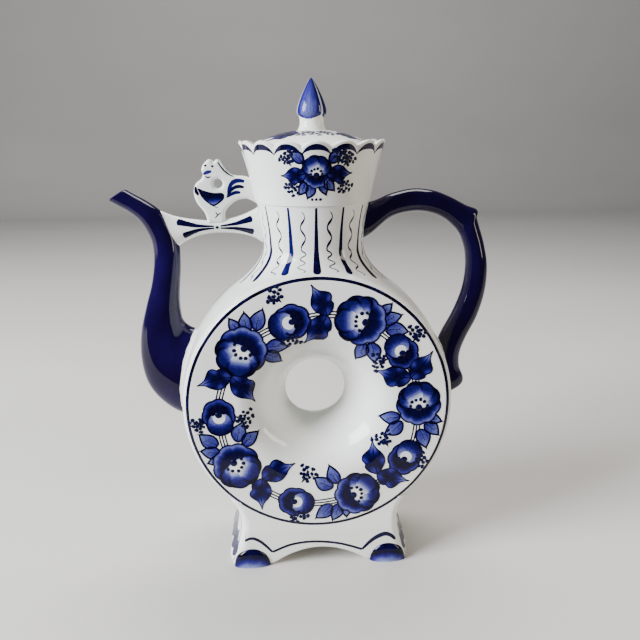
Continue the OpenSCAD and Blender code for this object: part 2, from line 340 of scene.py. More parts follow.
# the foot is tucked just inside the ring, and the wall turns up along the bore
rows.append(ring_land(columns)[0] * (0.96, 0.96, 1) - (0, 0, 3))
for z in (bore_foot_z, waist_z, neck_top):
    rows.append(around_pot(neck_bore_r, columns, z))
neck = outward(make("porcelain_neck", np.concatenate(rows), quads(len(rows), 256), white_glaze))
fit(neck, "pot", "white_glaze", "neck")

# ---- Collar ----
# Flared wall whose rim is pinched into sixteen scallops, with a thick rounded lip. Each
# scallop stands proud of the dips beside it, and the ripple dies away down the wall.
scallops, scallop_dip, lip, foot_thicker = 16, 3, 1.25, 1.9
rim_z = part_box("collar")[1][2] / MM
rim_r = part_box("collar")[1][0] / MM
collar_h = rim_z - neck_top


def ripple(a):
    """1 on the crest of a scallop and 0 in a dip; a crest faces the front."""
    return np.abs(np.cos(scallops * (a + math.pi / 2) / 2)) ** 0.8


def rim_height(a):
    """Height of the rim's top round the collar."""
    return rim_z - scallop_dip * (1 - ripple(a))


def collar_radius(a, u):
    """Outside radius of the collar by angle and share of its height."""
    flare = neck_top_r + 0.8 + (rim_r - neck_top_r - 1.4) * u ** 1.25
    return flare + (ripple(a) - 0.65) * 1.5 * np.clip(u, 0, 1) ** 5


def collar_point(a, z):
    """Collar surface by angle and height."""
    a, z = np.broadcast_arrays(np.asarray(a, float), np.asarray(z, float))
    return around_pot(collar_radius(a, (z - neck_top) / collar_h), a, z)


columns = np.linspace(0, 2 * math.pi, 24 * scallops, endpoint=False)
rows = []
lip_z = rim_height(columns) - lip
for u in np.linspace(0, 1, 40):
    rows.append(collar_point(columns, neck_top + (lip_z - neck_top) * u))
edge_r_here = np.hypot(rows[-1][:, 0], rows[-1][:, 1])
for t in np.linspace(0, math.pi, 13)[1:]:
    rows.append(around_pot(edge_r_here - lip * (1 - math.cos(t)), columns, lip_z + lip * math.sin(t)))
for u in np.linspace(1, 0, 16)[1:]:
    z = neck_top + (lip_z - neck_top) * u
    r = collar_radius(columns, (z - neck_top) / collar_h) - 2 * lip - foot_thicker * (1 - u)
    rows.append(around_pot(r, columns, z))
faces = quads(len(rows), len(columns))
collar = make("porcelain_collar", np.concatenate(rows), faces, white_glaze)
fit(outward(collar), "pot", "white_glaze", "collar")

# ---- Ledge for the lid ----
# Rounded ring luted inside the collar, glazed with it.
seat_low, seat_high = (np.array(v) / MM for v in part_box("lid_seat"))
bead = np.linspace(0, 2 * math.pi, 24, endpoint=False)
seat_in_r, seat_out_r = 33, seat_high[0]
seat_mid_r, seat_half = (seat_in_r + seat_out_r) / 2, (seat_out_r - seat_in_r) / 2
seat_z, seat_h = (seat_low[2] + seat_high[2]) / 2, (seat_high[2] - seat_low[2]) / 2
squareness = 0.45
profile = np.stack([
    seat_mid_r + seat_half * np.sign(np.cos(bead)) * np.abs(np.cos(bead)) ** squareness,
    seat_z + seat_h * np.sign(np.sin(bead)) * np.abs(np.sin(bead)) ** squareness,
], 1)
fit(turned("porcelain_lid_seat", profile, white_glaze), "pot", "white_glaze", "lid_seat")

# ---- Stand ----
# Arched block under the ring with four feet: waisted sides that swell towards mid-depth,
# rounded corners and a rounded lower edge, set back a hair behind the ring's faces.
stand_waist, stand_foot, stand_top = 48.5, 56, ring_z - 62
stand_waist_z, stand_set_back, lower_edge_r = 30, 0.55, 1.6
arch_span, arch_rise, side_span, side_rise = 31, 11.4, 22, 7
corner, per_side, per_corner = 4, 48, 8


def arch(x, span, rise):
    """Height of a round arch across x."""
    r = (span * span + rise * rise) / (2 * rise)
    return np.maximum(rise - r + np.sqrt(np.maximum(r * r - x * x, 0)), 0)


def stand_half(z):
    """Half width of the stand at a height."""
    splay = (stand_foot - stand_waist) * np.clip(1 - z / stand_waist_z, 0, 1) ** 1.8
    above = 6.5 * ((z - stand_waist_z) / 17) ** 2
    return stand_waist + np.where(z < stand_waist_z, splay, above)


def stand_depth(z):
    """Half depth of the stand at a height."""
    return half_depth - stand_set_back - 3 * np.clip(1 - z / 25, 0, 1)


def belly(y, depth):
    """How far the stand's ends swell towards mid-depth."""
    return 1.09 - 0.09 * (y / depth) ** 2


def stand_ring(z, inward=0):
    """Outline of the stand, sides bulging towards mid-depth, where its height is z."""
    half, depth = stand_half(z), stand_depth(z)
    x = side_share * (half - corner) + corner_out[0] * (corner - inward)
    y = end_share * (depth - corner) + corner_out[1] * (corner - inward)
    return np.stack([x * belly(y, depth), y, z + 0 * x], -1)


# one lap of a rounded rectangle: where along each straight, and which way each corner faces
side_share, end_share, corner_x, corner_y = [], [], [], []
for quarter in range(4):
    facing = quarter * math.pi / 2
    straight = np.linspace(-1, 1, per_side, endpoint=False)
    arc = facing + np.linspace(0, math.pi / 2, per_corner, endpoint=False)
    across, along = math.cos(facing), math.sin(facing)
    side_share += list(across - along * straight) + [across - along] * per_corner
    end_share += list(along + across * straight) + [along + across] * per_corner
    corner_x += [across] * per_side + list(np.cos(arc))
    corner_y += [along] * per_side + list(np.sin(arc))
side_share, end_share = np.round(side_share, 9), np.round(end_share, 9)
corner_out = np.array([corner_x, corner_y])
lap = len(side_share)


def underside(x, y):
    """Height of the stand's underside."""
    return np.maximum(arch(x, arch_span, arch_rise), arch(y, side_span, side_rise))


def capped(rows, columns):
    """Faces over a stack of closed rows, with one flat face across each end."""
    ends = [list(range(columns)), list(range((rows - 1) * columns, rows * columns))]
    return quads(rows, columns, tyre=False) + ends


base = stand_ring(np.zeros(lap))
lift = underside(base[:, 0], base[:, 1])
rows = []
edge_z = lift + lower_edge_r
for s in np.linspace(1, 0, 26):
    rows.append(stand_ring(edge_z + (stand_top - lift - lower_edge_r) * s))
for a in np.linspace(0, math.pi / 2, 6)[1:]:
    ring = stand_ring(edge_z, lower_edge_r * (1 - math.cos(a)))
    ring[:, 2] -= lower_edge_r * math.sin(a)
    rows.append(ring)
last = rows[-1]
for s in np.linspace(1, 0.04, 20)[1:]:
    flat = last[:, :2] * s
    rows.append(np.column_stack([flat, underside(flat[:, 0], flat[:, 1])]))
stand = make("porcelain_stand", np.concatenate(rows), capped(len(rows), lap), white_glaze, 35)
fit(outward(stand), "pot", "white_glaze", "stand")

# ---- Domes on the feet ----
# Half-round bosses pressed on the front and back of each corner of the stand, shaded in
# cobalt from dark at the top to pale at the table, then glazed with the pot.
foot_x, boss_r, boss_bulge = 43.5, 11.5, 4.4
boss_y, boss_root, boss_lean, boss_taller = 34.8, 3, 0.12, 1.1
# what the white of the body is multiplied by, from no cobalt to the thickest
WASH = [(0, "#FFFFFF"), (0.16, "#B8BDDE"), (0.34, "#7179B8"), (0.55, "#322F86"),
        (0.72, "#170F60"), (0.88, "#08033A"), (1, "#03010F")]


def calc(tree, how, a, b):
    """Math node on sockets or numbers."""
    new = tree.nodes.new("ShaderNodeMath")
    new.operation = how
    for socket, value in zip(new.inputs, (a, b)):
        if isinstance(value, (int, float)):
            socket.default_value = value
        else:
            tree.links.new(value, socket)
    return new.outputs[0]


# cobalt under the clear glaze: its strength is painted into "wash", and the brush's
# streaks run along each stroke as "stroke" does
painted_glaze, tree, place, shader = glaze("cobalt_under_gloss_glaze", shine=0.22)
wash = add(tree, "ShaderNodeAttribute", attribute_name="wash").outputs["Fac"]
stroke = add(tree, "ShaderNodeAttribute", attribute_name="stroke").outputs["Vector"]
streak = add(tree, "ShaderNodeTexNoise", {"Vector": stroke}, Scale=1.0, Detail=3).outputs[0]
cloud = add(tree, "ShaderNodeTexNoise", {"Vector": place}, Scale=260, Detail=2).outputs[0]
uneven = calc(tree, "ADD", calc(tree, "MULTIPLY", calc(tree, "SUBTRACT", streak, 0.5), 0.6),
              calc(tree, "MULTIPLY", calc(tree, "SUBTRACT", cloud, 0.5), 0.2))
thick = calc(tree, "ADD", wash, calc(tree, "MULTIPLY", uneven, calc(tree, "MINIMUM", wash, 0.6)))
mix = add(tree, "ShaderNodeMix", {"A": body_white(tree, place), "B": ramp(tree, thick, WASH)},
          data_type="RGBA", blend_type="MULTIPLY", Factor=1)
tree.links.new(mix.outputs["Result"], shader.inputs["Base Color"])


def brush(obj, wash, lane):
    """Writes the strength of the cobalt at each point, and the lane its streaks run in."""
    obj.data.attributes.new("wash", "FLOAT", "POINT").data.foreach_set("value", wash)
    lane = np.column_stack([lane, 0 * wash])
    obj.data.attributes.new("stroke", "FLOAT_VECTOR", "POINT").data.foreach_set(
        "vector", lane.ravel())


for side, corner_name in ((-1, "left"), (1, "right")):
    for face, face_name in ((-1, "front"), (1, "back")):
        arc = np.linspace(0, math.pi / 2, 15)
        rows = [(boss_r, -boss_root)]
        rows += [(boss_r * math.cos(t), boss_bulge * math.sin(t)) for t in arc[:-1]]
        rows.append((0.15, boss_bulge))
        half_turn = np.linspace(0, math.pi, 49)
        points = []
        for r, out in rows:
            for t in half_turn:
                height = r * math.sin(t) * boss_taller
                depth = boss_y + out + height * boss_lean
                points.append((side * foot_x + r * math.cos(t), face * depth, height))
        points = np.array(points)
        height = points[:, 2] / boss_r
        spread = np.hypot(points[:, 0] - side * foot_x, points[:, 2]) / boss_r
        strength = np.clip(0.26 + 0.95 * height ** 1.2 + 0.6 * spread ** 4, 0, 0.95)
        foot = "foot_" + face_name + "_" + corner_name
        boss = make("painted_" + foot, points, capped(len(rows), len(half_turn)), painted_glaze, 60)
        brush(boss, strength, points[:, [0, 2]] * 0.25)
        fit(outward(boss), "pot", "painted_glaze", foot)

# ---- Spout and handle ----
# Cast separately, luted on and flooded with cobalt to within about 2 mm of the body, where a
# white margin is left. The handle carries a ridge with a spur and a flicked foot.

# each station: the arm's two edges as x and height from the ring's centre, then half its depth
spout_stations = [
    (-70, 40, -72, -16, 15), (-77.5, 41.5, -87, -15, 14.6), (-82.6, 46, -99.5, -6, 13.6),
    (-84, 53, -107.5, 6, 12.6), (-84.2, 61, -110.6, 22, 11.6), (-83.6, 69, -109.6, 39, 10.6),
    (-82.8, 77, -105.6, 55, 9.6), (-82.4, 85, -101, 70, 8.8), (-82.4, 92.5, -98.6, 84, 8.2),
    (-83.6, 100.5, -98.8, 95, 7.8), (-87.5, 109, -101.8, 103.5, 7.4),
    (-93.5, 116, -106, 110, 6.9), (-101, 121.5, -111.5, 114.8, 6.4),
    (-107.5, 125.2, -117.3, 118.3, 6), (-112.6, 128.2, -123, 121.6, 5.6),
]
handle_stations = [
    (27, 117, 27, 94, 8.6), (37.5, 119.3, 36, 99, 8.2), (49, 123.8, 48.7, 109, 7.4),
    (62.3, 126.4, 62.4, 112.3, 7), (75, 125, 73.6, 111.1, 6.9), (86, 120.8, 82.3, 107.3, 6.9),
    (95.5, 115.8, 88.7, 101.9, 6.8), (102.8, 112.6, 91.4, 98.8, 6.4),
    (103, 107, 93.4, 95, 6.8), (107.8, 92, 96.1, 86.3, 7), (110.7, 77, 96.8, 75, 7),
    (110, 61, 95, 62, 7.2), (105.6, 44.6, 89.6, 47.5, 7.4), (99, 31, 82.5, 34, 7.6),
    (95.2, 20, 78, 22, 7.8), (95.3, 10.8, 76, 11, 7.8), (98.2, 2.8, 76, 1, 7.4),
    (97, -1.8, 76, -4, 6.8), (91.5, -5.4, 76, -7, 6),
]
arm_columns, bridge_columns = 72, 64

# cobalt flooded on so thick that it is nearly black, ending about 2 mm off the ring in an
# uneven line
flood_glaze, tree, place, shader = glaze("solid_cobalt_gloss_glaze", 0.06, 0.25)
margin = add(tree, "ShaderNodeAttribute", attribute_name="margin").outputs["Fac"]
cloud = add(tree, "ShaderNodeTexNoise", {"Vector": place}, Scale=45, Detail=4)
deep = ramp(tree, cloud.outputs[0], [(0.3, "#08001F"), (0.72, "#100338")])
edge_noise = add(tree, "ShaderNodeTexNoise", {"Vector": place}, Scale=120, Detail=2).outputs[0]
reach = calc(tree, "SUBTRACT", margin, calc(tree, "MULTIPLY", edge_noise, 1.6))
white_part = ramp(tree, calc(tree, "MULTIPLY", reach, 0.25), [(0.2, "#000000"), (0.27, "#FFFFFF")])
mix = add(tree, "ShaderNodeMix", {"Factor": white_part, "B": deep}, data_type="RGBA",
          A=linear("#EDEFE8"))
tree.links.new(mix.outputs["Result"], shader.inputs["Base Color"])


def smoothed(stations, n):
    """Catmull-Rom stations with n steps from each to the next."""
    s = np.asarray(stations, float)
    s = np.concatenate([s[:1], s, s[-1:]])
    t = (np.arange(n) / n)[:, None]
    out = []
    for a, b, c, d in zip(s, s[1:], s[2:], s[3:]):
        curve = 2 * b + (c - a) * t + (2 * a - 5 * b + 4 * c - d) * t * t
        out.append(0.5 * (curve + (3 * b - a - 3 * c + d) * t ** 3))
    return np.concatenate(out + [s[-1:]])


def arm_ring(s, inset, n):
    """Oval of n points round an arm at a station, drawn in by an inset."""
    a, b = np.array([s[0], s[1] + ring_z]), np.array([s[2], s[3] + ring_z])
    mid, gap = (a + b) / 2, np.linalg.norm(a - b)
    t = 2 * math.pi * (np.arange(n) + 0.5) / n
    reach = ((gap / 2 - inset) * np.cos(t))[:, None] * (a - b) / gap
    return np.stack([mid[0] + reach[:, 0], (s[4] - inset) * np.sin(t), mid[1] + reach[:, 1]], 1)


def ring_distance(p):
    """Distance of points outside the ring's side band from it."""
    return np.hypot(p[:, 0], p[:, 2] - ring_z) - ring_radius(np.clip(p[:, 1], -edge_y, edge_y))


def keep_margin(obj):
    """Writes how far each point stands off the ring, for the white margin."""
    points = np.array([v.co for v in obj.data.vertices]) / MM
    obj.data.attributes.new("margin", "FLOAT", "POINT").data.foreach_set(
        "value", ring_distance(points))


steps = smoothed(spout_stations, 9)
last = len(steps) - 1
rows = [arm_ring(s, 0, arm_columns) for s in steps]
# the lip is rolled in over half a millimetre, and its wall of 2.2 mm is 3.2 mm at the root
for k in (0.35, 0.7, 1):
    rolled = steps[last] + np.multiply(k, (-0.5, 0.5, -0.5, 0.5, 0))
    rows.append(arm_ring(rolled, 1.1 * k, arm_columns))
rows += [arm_ring(steps[k], 3.2 - 1 * k / last, arm_columns) for k in range(last, -1, -1)]
points = np.concatenate(rows)
spout = outward(make("cobalt_spout", points, quads(len(rows), arm_columns), flood_glaze))
keep_margin(spout)
fit(spout, "pot", "cobalt_glaze", "spout")

steps = smoothed(handle_stations, 9)
rows = [arm_ring(s, 0, arm_columns) for s in steps]
# the foot is rounded off over 2 mm
for k in (0.5, 0.8, 1):
    inset = 3 * (1 - math.sqrt(1 - k * k))
    rows.append(arm_ring(steps[-1] + (-1.2 * k, -2 * k, -0.4 * k, -2 * k, 0), inset, arm_columns))
points = np.concatenate(rows)
handle = make("cobalt_handle", points, capped(len(rows), arm_columns), flood_glaze, 50)
keep_margin(handle)
fit(outward(handle), "pot", "cobalt_glaze", "handle")

# ---- Bridge ----
# Porcelain tie from the neck to the spout, waisted between them and luted at both ends.

# each station: x, top and bottom as heights from the ring's centre, half depth
bridge_stations = [
    (-93, 115.5, 90, 6), (-86, 112.6, 91.5, 5.6), (-80, 111, 95.5, 5.2), (-72, 109.7, 99.3, 4.8),
    (-62, 108.8, 101.3, 4.6), (-52, 109.9, 101.3, 4.8), (-44, 111.9, 100.3, 5.2),
    (-37, 114.9, 98.2, 5.8), (-30, 119, 94, 6.6),
]
steps = smoothed(bridge_stations, 9)
rows = [arm_ring((s[0], s[1], s[0], s[2], s[3]), 0, bridge_columns) for s in steps]
points = np.concatenate(rows)
bridge = make("porcelain_bridge", points, capped(len(rows), bridge_columns), white_glaze, 180)
fit(outward(bridge), "pot", "white_glaze", "bridge")

# ---- Rooster ----
# Little pressed figure with rounded edges, standing on the bridge with its tail against
# the collar and a hole between neck and back.
rooster_outline = [
    (-64.4, 107.5), (-54.8, 107.5), (-53.5, 114), (-51.5, 117), (-48, 120), (-44.5, 121.6),
    (-39.5, 121.8), (-34.5, 120.6), (-34.5, 133.8), (-38, 134.4), (-41.5, 135.4),
    (-47.5, 136), (-51.5, 138.2), (-54, 141.6), (-55.8, 144.8), (-57.6, 145.4),
    (-59.2, 144.2), (-60.4, 145), (-62, 145.6), (-63.6, 144.6), (-65.4, 142.8),
    (-66.8, 139.6), (-66, 136.6), (-67.2, 134), (-70.2, 131.6), (-71.8, 128),
    (-71.6, 123.4), (-69.8, 119), (-66.8, 115.2), (-65.2, 112),
]
rooster_half, rooster_round, hole_x, hole_z, hole_r = 4.2, 2.1, -57.1, 131.2, 2.7
curve = bpy.data.curves.new("rooster_outline", "CURVE")
curve.dimensions = "2D"
curve.fill_mode = "BOTH"
curve.extrude = (rooster_half - rooster_round) * MM
curve.bevel_depth = rooster_round * MM
curve.bevel_resolution = 6
curve.offset = -rooster_round * MM
rim = smoothed(rooster_outline + rooster_outline[:1], 6)[:-1]
hole_t = np.linspace(0, 2 * math.pi, 32, endpoint=False)
hole = np.stack([hole_x + hole_r * np.cos(hole_t), hole_z - hole_r * np.sin(hole_t)], 1)
for loop in (rim, hole):
    spline = curve.splines.new("POLY")
    spline.points.add(len(loop) - 1)
    for point, (x, z) in zip(spline.points, loop):
        point.co = (x * MM, z * MM, 0, 1)
    spline.use_cyclic_u = True
figure = bpy.data.objects.new("rooster_curve", curve)
scene.collection.objects.link(figure)
graph = bpy.context.evaluated_depsgraph_get()
mesh = bpy.data.meshes.new_from_object(figure.evaluated_get(graph))
bpy.data.objects.remove(figure)
mesh.transform(Matrix.Translation((0, 0, ring_z * MM)) @ Matrix.Rotation(math.pi / 2, 4, "X"))
mesh.materials.clear()
mesh.materials.append(white_glaze)
work = bmesh.new()
work.from_mesh(mesh)
bmesh.ops.remove_doubles(work, verts=work.verts, dist=0.00001)
bmesh.ops.recalc_face_normals(work, faces=work.faces)
work.to_mesh(mesh)
work.free()
mesh.shade_smooth()
mesh.set_sharp_from_angle(angle=math.radians(35))
rooster = bpy.data.objects.new("porcelain_rooster", mesh)
scene.collection.objects.link(rooster)
fit(rooster, "pot", "white_glaze", "rooster")

# ---- Lid ----
# Loose domed lid lying in the collar on its ledge, with a locating ring under it and a
# teardrop knob on a short stem. Its edge is rounded where the glaze runs off it.
lid_r, lid_rise, lid_edge, lid_shell = 37.2, 9.5, 2.8, 3.6
lid_round, flange_in_r, flange_out_r = 1.4, 28.5, 31.5
dome_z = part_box("lid_dome")[0][2] / MM


def dome_top(r):
    """Height of the lid's top at a distance from its axis."""
    return dome_z + lid_edge + lid_rise * (1 - (r / lid_r) ** 2)


edge_start = lid_r - lid_round
top = [(r, dome_top(r)) for r in np.linspace(0.1, edge_start, 40)]
drop = dome_top(edge_start) - dome_z
edge = [(edge_start + lid_round * math.cos(t), dome_z + drop * (math.sin(t) + 1) / 2)
        for t in np.linspace(math.pi / 2, -math.pi / 2, 14)[1:]]
under = [(r, max(dome_top(r) - lid_shell, dome_z + 0.01))
         for r in np.linspace(flange_out_r, 0.1, 20)]
profile = top + edge + [(flange_out_r, dome_z)] + under
dome = turned("porcelain_lid_dome", profile, white_glaze)
fit(dome, "lid", "white_glaze", "lid_dome")

profile = [(flange_out_r, dome_z + 0.4), (flange_out_r, dome_z - 8.2), (31, dome_z - 9.4),
           (30, dome_z - 9.95), (29.2, dome_z - 9.9), (28.6, dome_z - 9.2),
           (flange_in_r, dome_z - 8), (flange_in_r, dome_top(flange_in_r) - lid_shell)]
fit(turned("porcelain_lid_flange", profile, white_glaze), "lid", "white_glaze", "lid_flange")

finial_profile = [(8.6, 0), (7.6, 0.07), (7.2, 0.16), (7.5, 0.25), (8.7, 0.31), (8.9, 0.37),
                  (8.4, 0.46), (7.1, 0.58), (5.4, 0.71), (3.4, 0.84), (1.6, 0.94), (0.06, 1)]
finial_h = 30
profile = smoothed(finial_profile, 6)
profile[:, 0] = np.maximum(profile[:, 0], 0.06)
base_z = dome_top(8.6)
profile = np.concatenate([[(0.06, base_z + 0.2)], profile * (1, finial_h) + (0, base_z)])
finial = turned("painted_finial", profile, painted_glaze, 96)
points = np.array([v.co for v in finial.data.vertices]) / MM
share = (points[:, 2] - base_z) / finial_h
front = np.arctan2(points[:, 0], -points[:, 1])
# three petals: a pale one in front, a little to the left, and dark ones wrapping round it
petal_half, petal_turn = math.pi / 3, 0.35
about = (front + petal_turn + petal_half) % (2 * petal_half) - petal_half
ahead = np.abs(front + petal_turn) < petal_half
edge_of_petals = 0.29 - 0.075 * np.cos(about * 1.5)
petal = np.where(ahead, 0.42 + 0.5 * np.abs(about) ** 3, 0.82) + 0.25 * share ** 3
petal += 0.2 * np.clip(1 - (share - edge_of_petals) / 0.06, 0, 1)
petal = np.where(np.abs(np.abs(about) - 1.0) < 0.05, 0.1, petal)
strength = np.clip(np.where(share > edge_of_petals, petal, 0), 0, 0.94)
brush(finial, strength, np.stack([front * 6, points[:, 2] * 0.12], 1))
fit(finial, "lid", "painted_glaze", "finial")

# ---- Cobalt painting: how a brush stroke is laid ----
# All painting is cobalt laid by brush on the white body, under the clear glaze. Each stroke
# is a very thin closed film that follows the porcelain, a little prouder where it overlaps.

# thickness of a film, what each layer adds, what each next stroke adds, and its hidden depth
FILM, LAYER, HAIR, ROOT = 0.05, 0.025, 0.0011, 0.12


def ring_front(p):
    """Front of the ring by x and height above its centre."""
    r = np.hypot(p[..., 0], p[..., 1])
    return np.stack([p[..., 0], -ring_depth(r), ring_z + p[..., 1]], -1)


def onto(surface, p, lift):
    """Points lifted off a surface, given by its own two measures."""
    step = 0.04
    here = surface(p)
    along = surface(p + (step, 0)) - surface(p - (step, 0))
    up = surface(p + (0, step)) - surface(p - (0, step))
    normal = np.cross(along, up)
    normal /= np.linalg.norm(normal, axis=-1, keepdims=True)
    return here + normal * np.asarray(lift)[..., None], normal


def new_film():
    """An empty painting: strokes collect in it before it is laid on a surface."""
    return {"p": [], "lift": [], "wash": [], "lane": [], "faces": [], "dots": [], "n": 0, "k": 0}


def lanes(across, along):
    """Where each point lies across the brush and along its way, for the streaks."""
    return np.stack(np.broadcast_arrays(across, along), -1)


def patch(film, p, wash, lane, layer, kind="sheet"):
    """Adds a grid as one closed film: a sheet, or a disc or loop whose columns wrap."""
    rows, columns = p.shape[:2]
    # each stroke lies a hair prouder than the one before, so that no two tops coincide
    film["k"] += 1
    top = FILM + LAYER * layer + HAIR * (film["k"] % 20)
    start, size = film["n"], rows * columns
    for level in (top, -ROOT):
        film["p"].append(p.reshape(-1, 2))
        film["lift"].append(np.full(size, level))
        film["wash"].append(np.broadcast_to(wash, (rows, columns)).ravel())
        film["lane"].append(np.broadcast_to(lane, (rows, columns, 2)).reshape(-1, 2))
    i, j = np.arange(rows - 1)[:, None], np.arange(columns - (kind == "sheet"))[None]
    k = (j + 1) % columns
    corners = [i * columns + j, i * columns + k, (i + 1) * columns + k, (i + 1) * columns + j]
    grid = np.stack(np.broadcast_arrays(*corners), -1).reshape(-1, 4) + start
    film["faces"] += grid.tolist() + (grid[:, ::-1] + size).tolist()
    first, final = np.arange(columns), (rows - 1) * columns + np.arange(columns)
    if kind == "disc":
        film["faces"] += [(start + first[::-1]).tolist(), (start + size + first).tolist()]
        loops = [final]
    elif kind == "loop":
        loops = [first[::-1], final]
    else:
        loops = [np.concatenate([
            np.arange(columns - 1),
            np.arange(rows - 1) * columns + columns - 1,
            rows * columns - 1 - np.arange(columns - 1),
            (rows - 1 - np.arange(rows - 1)) * columns,
        ])]
    for loop in loops:
        after = np.roll(loop, -1)
        wall = np.stack([loop, loop + size, after + size, after], -1) + start
        film["faces"] += wall.tolist()
    film["n"] += 2 * size


def at(center, degrees=0, size=1, flip=1):
    """Turns a stroke's own millimetres into the surface's: moved, turned and sized."""
    c, s = math.cos(math.radians(degrees)), math.sin(math.radians(degrees))

    def place(p):
        p = np.asarray(p, float) * (size, size * flip)
        x, y = p[..., 0], p[..., 1]
        return np.stack([center[0] + x * c - y * s, center[1] + x * s + y * c], -1)

    return place


def blob(film, place, edge, middle, wash, layer, rows=9):
    """Fills an outline round its middle; wash may depend on x, y and the share outward."""
    edge = np.asarray(edge, float)
    share = np.linspace(0.03, 1, rows)[:, None, None]
    local = np.asarray(middle) + share * (edge - middle)
    strength = wash
    if callable(wash):
        strength = wash(local[..., 0], local[..., 1], share[..., 0] + 0 * local[..., 0])
    a = np.linspace(0, 2 * math.pi, len(edge), endpoint=False)
    seed = (film["n"] * 0.37) % 50
    lane = lanes(np.abs(a - math.pi) * 3.2 + seed, share[..., 0] * 1.3)
    patch(film, place(local), strength, lane, layer, "disc")


def line(film, place, points, width, wash, layer, closed=False):
    """Brush line along points; its width may change along it."""
    points = np.asarray(points, float)
    if closed:
        way = np.roll(points, -1, 0) - np.roll(points, 1, 0)
    else:
        way = np.gradient(points, axis=0)
    way /= np.linalg.norm(way, axis=1, keepdims=True) + 1e-9
    side = np.stack([-way[:, 1], way[:, 0]], 1) * np.broadcast_to(width, len(points))[:, None] / 2
    rows = 7 if np.max(width) > 1.3 else 3
    t = np.linspace(-1, 1, rows)[:, None]
    grid = points + t[..., None] * side
    seed = (film["n"] * 0.37) % 50
    lane = lanes(t * 0.4 + seed, np.arange(len(points)) * 0.2)
    patch(film, place(grid), wash, lane, layer, "loop" if closed else "sheet")


def dot(film, place, p, r, layer=1):
    """A near-black dot, grown when the film is laid."""
    film["dots"].append((*place(np.array(p, float)), r, FILM + LAYER * layer))


def soft(x, low, high):
    """Smooth step from 0 at low to 1 at high."""
    t = np.clip((x - low) / (high - low), 0, 1)
    return t * t * (3 - 2 * t)


# cobalt laid so thick in dots that it fires nearly black
dot_glaze, tree, place, shader = glaze("near_black_cobalt_gloss_glaze", shine=0.22)
shade = add(tree, "ShaderNodeTexNoise", {"Vector": place}, Scale=300, Detail=1)
tree.links.new(ramp(tree, shade.outputs[0], [(0.35, "#07062A"), (0.7, "#0C0A3C")]),
               shader.inputs["Base Color"])


def new_tree(name, **inputs):
    """Geometry Nodes group that takes geometry and the named inputs and gives geometry."""
    tree = bpy.data.node_groups.new(name, "GeometryNodeTree")
    for label, kind in {"Geometry": "Geometry", **inputs}.items():
        tree.interface.new_socket(label, in_out="INPUT", socket_type="NodeSocket" + kind)
    tree.interface.new_socket("Geometry", in_out="OUTPUT", socket_type="NodeSocketGeometry")
    return tree, add(tree, "NodeGroupInput")


def end_tree(tree, laid, material):
    """Makes the laid instances real, in one material, and ends the tree."""
    real = add(tree, "GeometryNodeRealizeInstances", {"Geometry": laid.outputs[0]})
    done = add(tree, "GeometryNodeSetMaterial", {"Geometry": real.outputs[0]}, Material=material)
    add(tree, "NodeGroupOutput", {"Geometry": done.outputs[0]})
    return tree


def dot_tree():
    """Lays a flattened bead on each point, facing as its "face" says and of its "size"."""
    tree, start = new_tree("beads", Flatness="Float", Unevenness="Float", Seed="Int")
    facing = add(tree, "GeometryNodeInputNamedAttribute", data_type="FLOAT_VECTOR", Name="face")
    size = add(tree, "GeometryNodeInputNamedAttribute", data_type="FLOAT", Name="size")
    bead = add(tree, "GeometryNodeMeshUVSphere", Segments=12, Rings=6, Radius=1)
    turn = add(tree, "FunctionNodeAlignRotationToVector", {"Vector": facing.outputs[0]}, axis="Z")
    vary = add(tree, "FunctionNodeRandomValue", {"Seed": start.outputs["Seed"]})
    low = calc(tree, "SUBTRACT", 1, start.outputs["Unevenness"])
    high = calc(tree, "ADD", 1, start.outputs["Unevenness"])
    tree.links.new(low, vary.inputs[2])
    tree.links.new(high, vary.inputs[3])
    wide = calc(tree, "MULTIPLY", size.outputs[0], vary.outputs[1])
    thin = calc(tree, "MULTIPLY", wide, start.outputs["Flatness"])
    scale = add(tree, "ShaderNodeCombineXYZ", {"X": wide, "Y": size.outputs[0], "Z": thin})
    laid = add(tree, "GeometryNodeInstanceOnPoints", {
        "Points": start.outputs[0], "Instance": bead.outputs[0],
        "Rotation": turn.outputs[0], "Scale": scale.outputs[0]})
    return end_tree(tree, laid, dot_glaze)


beads = dot_tree()


def run_tree(obj, tree, **values):
    """Runs a node tree on obj, inputs set by their identifiers, and keeps the mesh it makes."""
    modifier = obj.modifiers.new("tree", "NODES")
    modifier.node_group = tree
    for item in tree.interface.items_tree:
        if item.in_out == "INPUT" and item.name in values:
            modifier[item.identifier] = values[item.name]
    settle(obj)


def grow(name, points, attributes, tree, material, **values):
    """Grows a mesh with a node tree on bare points that carry the attributes."""
    mesh = bpy.data.meshes.new(name)
    mesh.from_pydata((np.asarray(points) * MM).tolist(), [], [])
    for key, value in attributes.items():
        kind, field = ("FLOAT", "value") if np.ndim(value) == 1 else ("FLOAT_VECTOR", "vector")
        mesh.attributes.new(key, kind, "POINT").data.foreach_set(field, np.ravel(value))
    obj = bpy.data.objects.new(name, mesh)
    scene.collection.objects.link(obj)
    run_tree(obj, tree, **values)
    obj.data.shade_smooth()
    obj.data.materials.clear()
    obj.data.materials.append(material)
    return obj


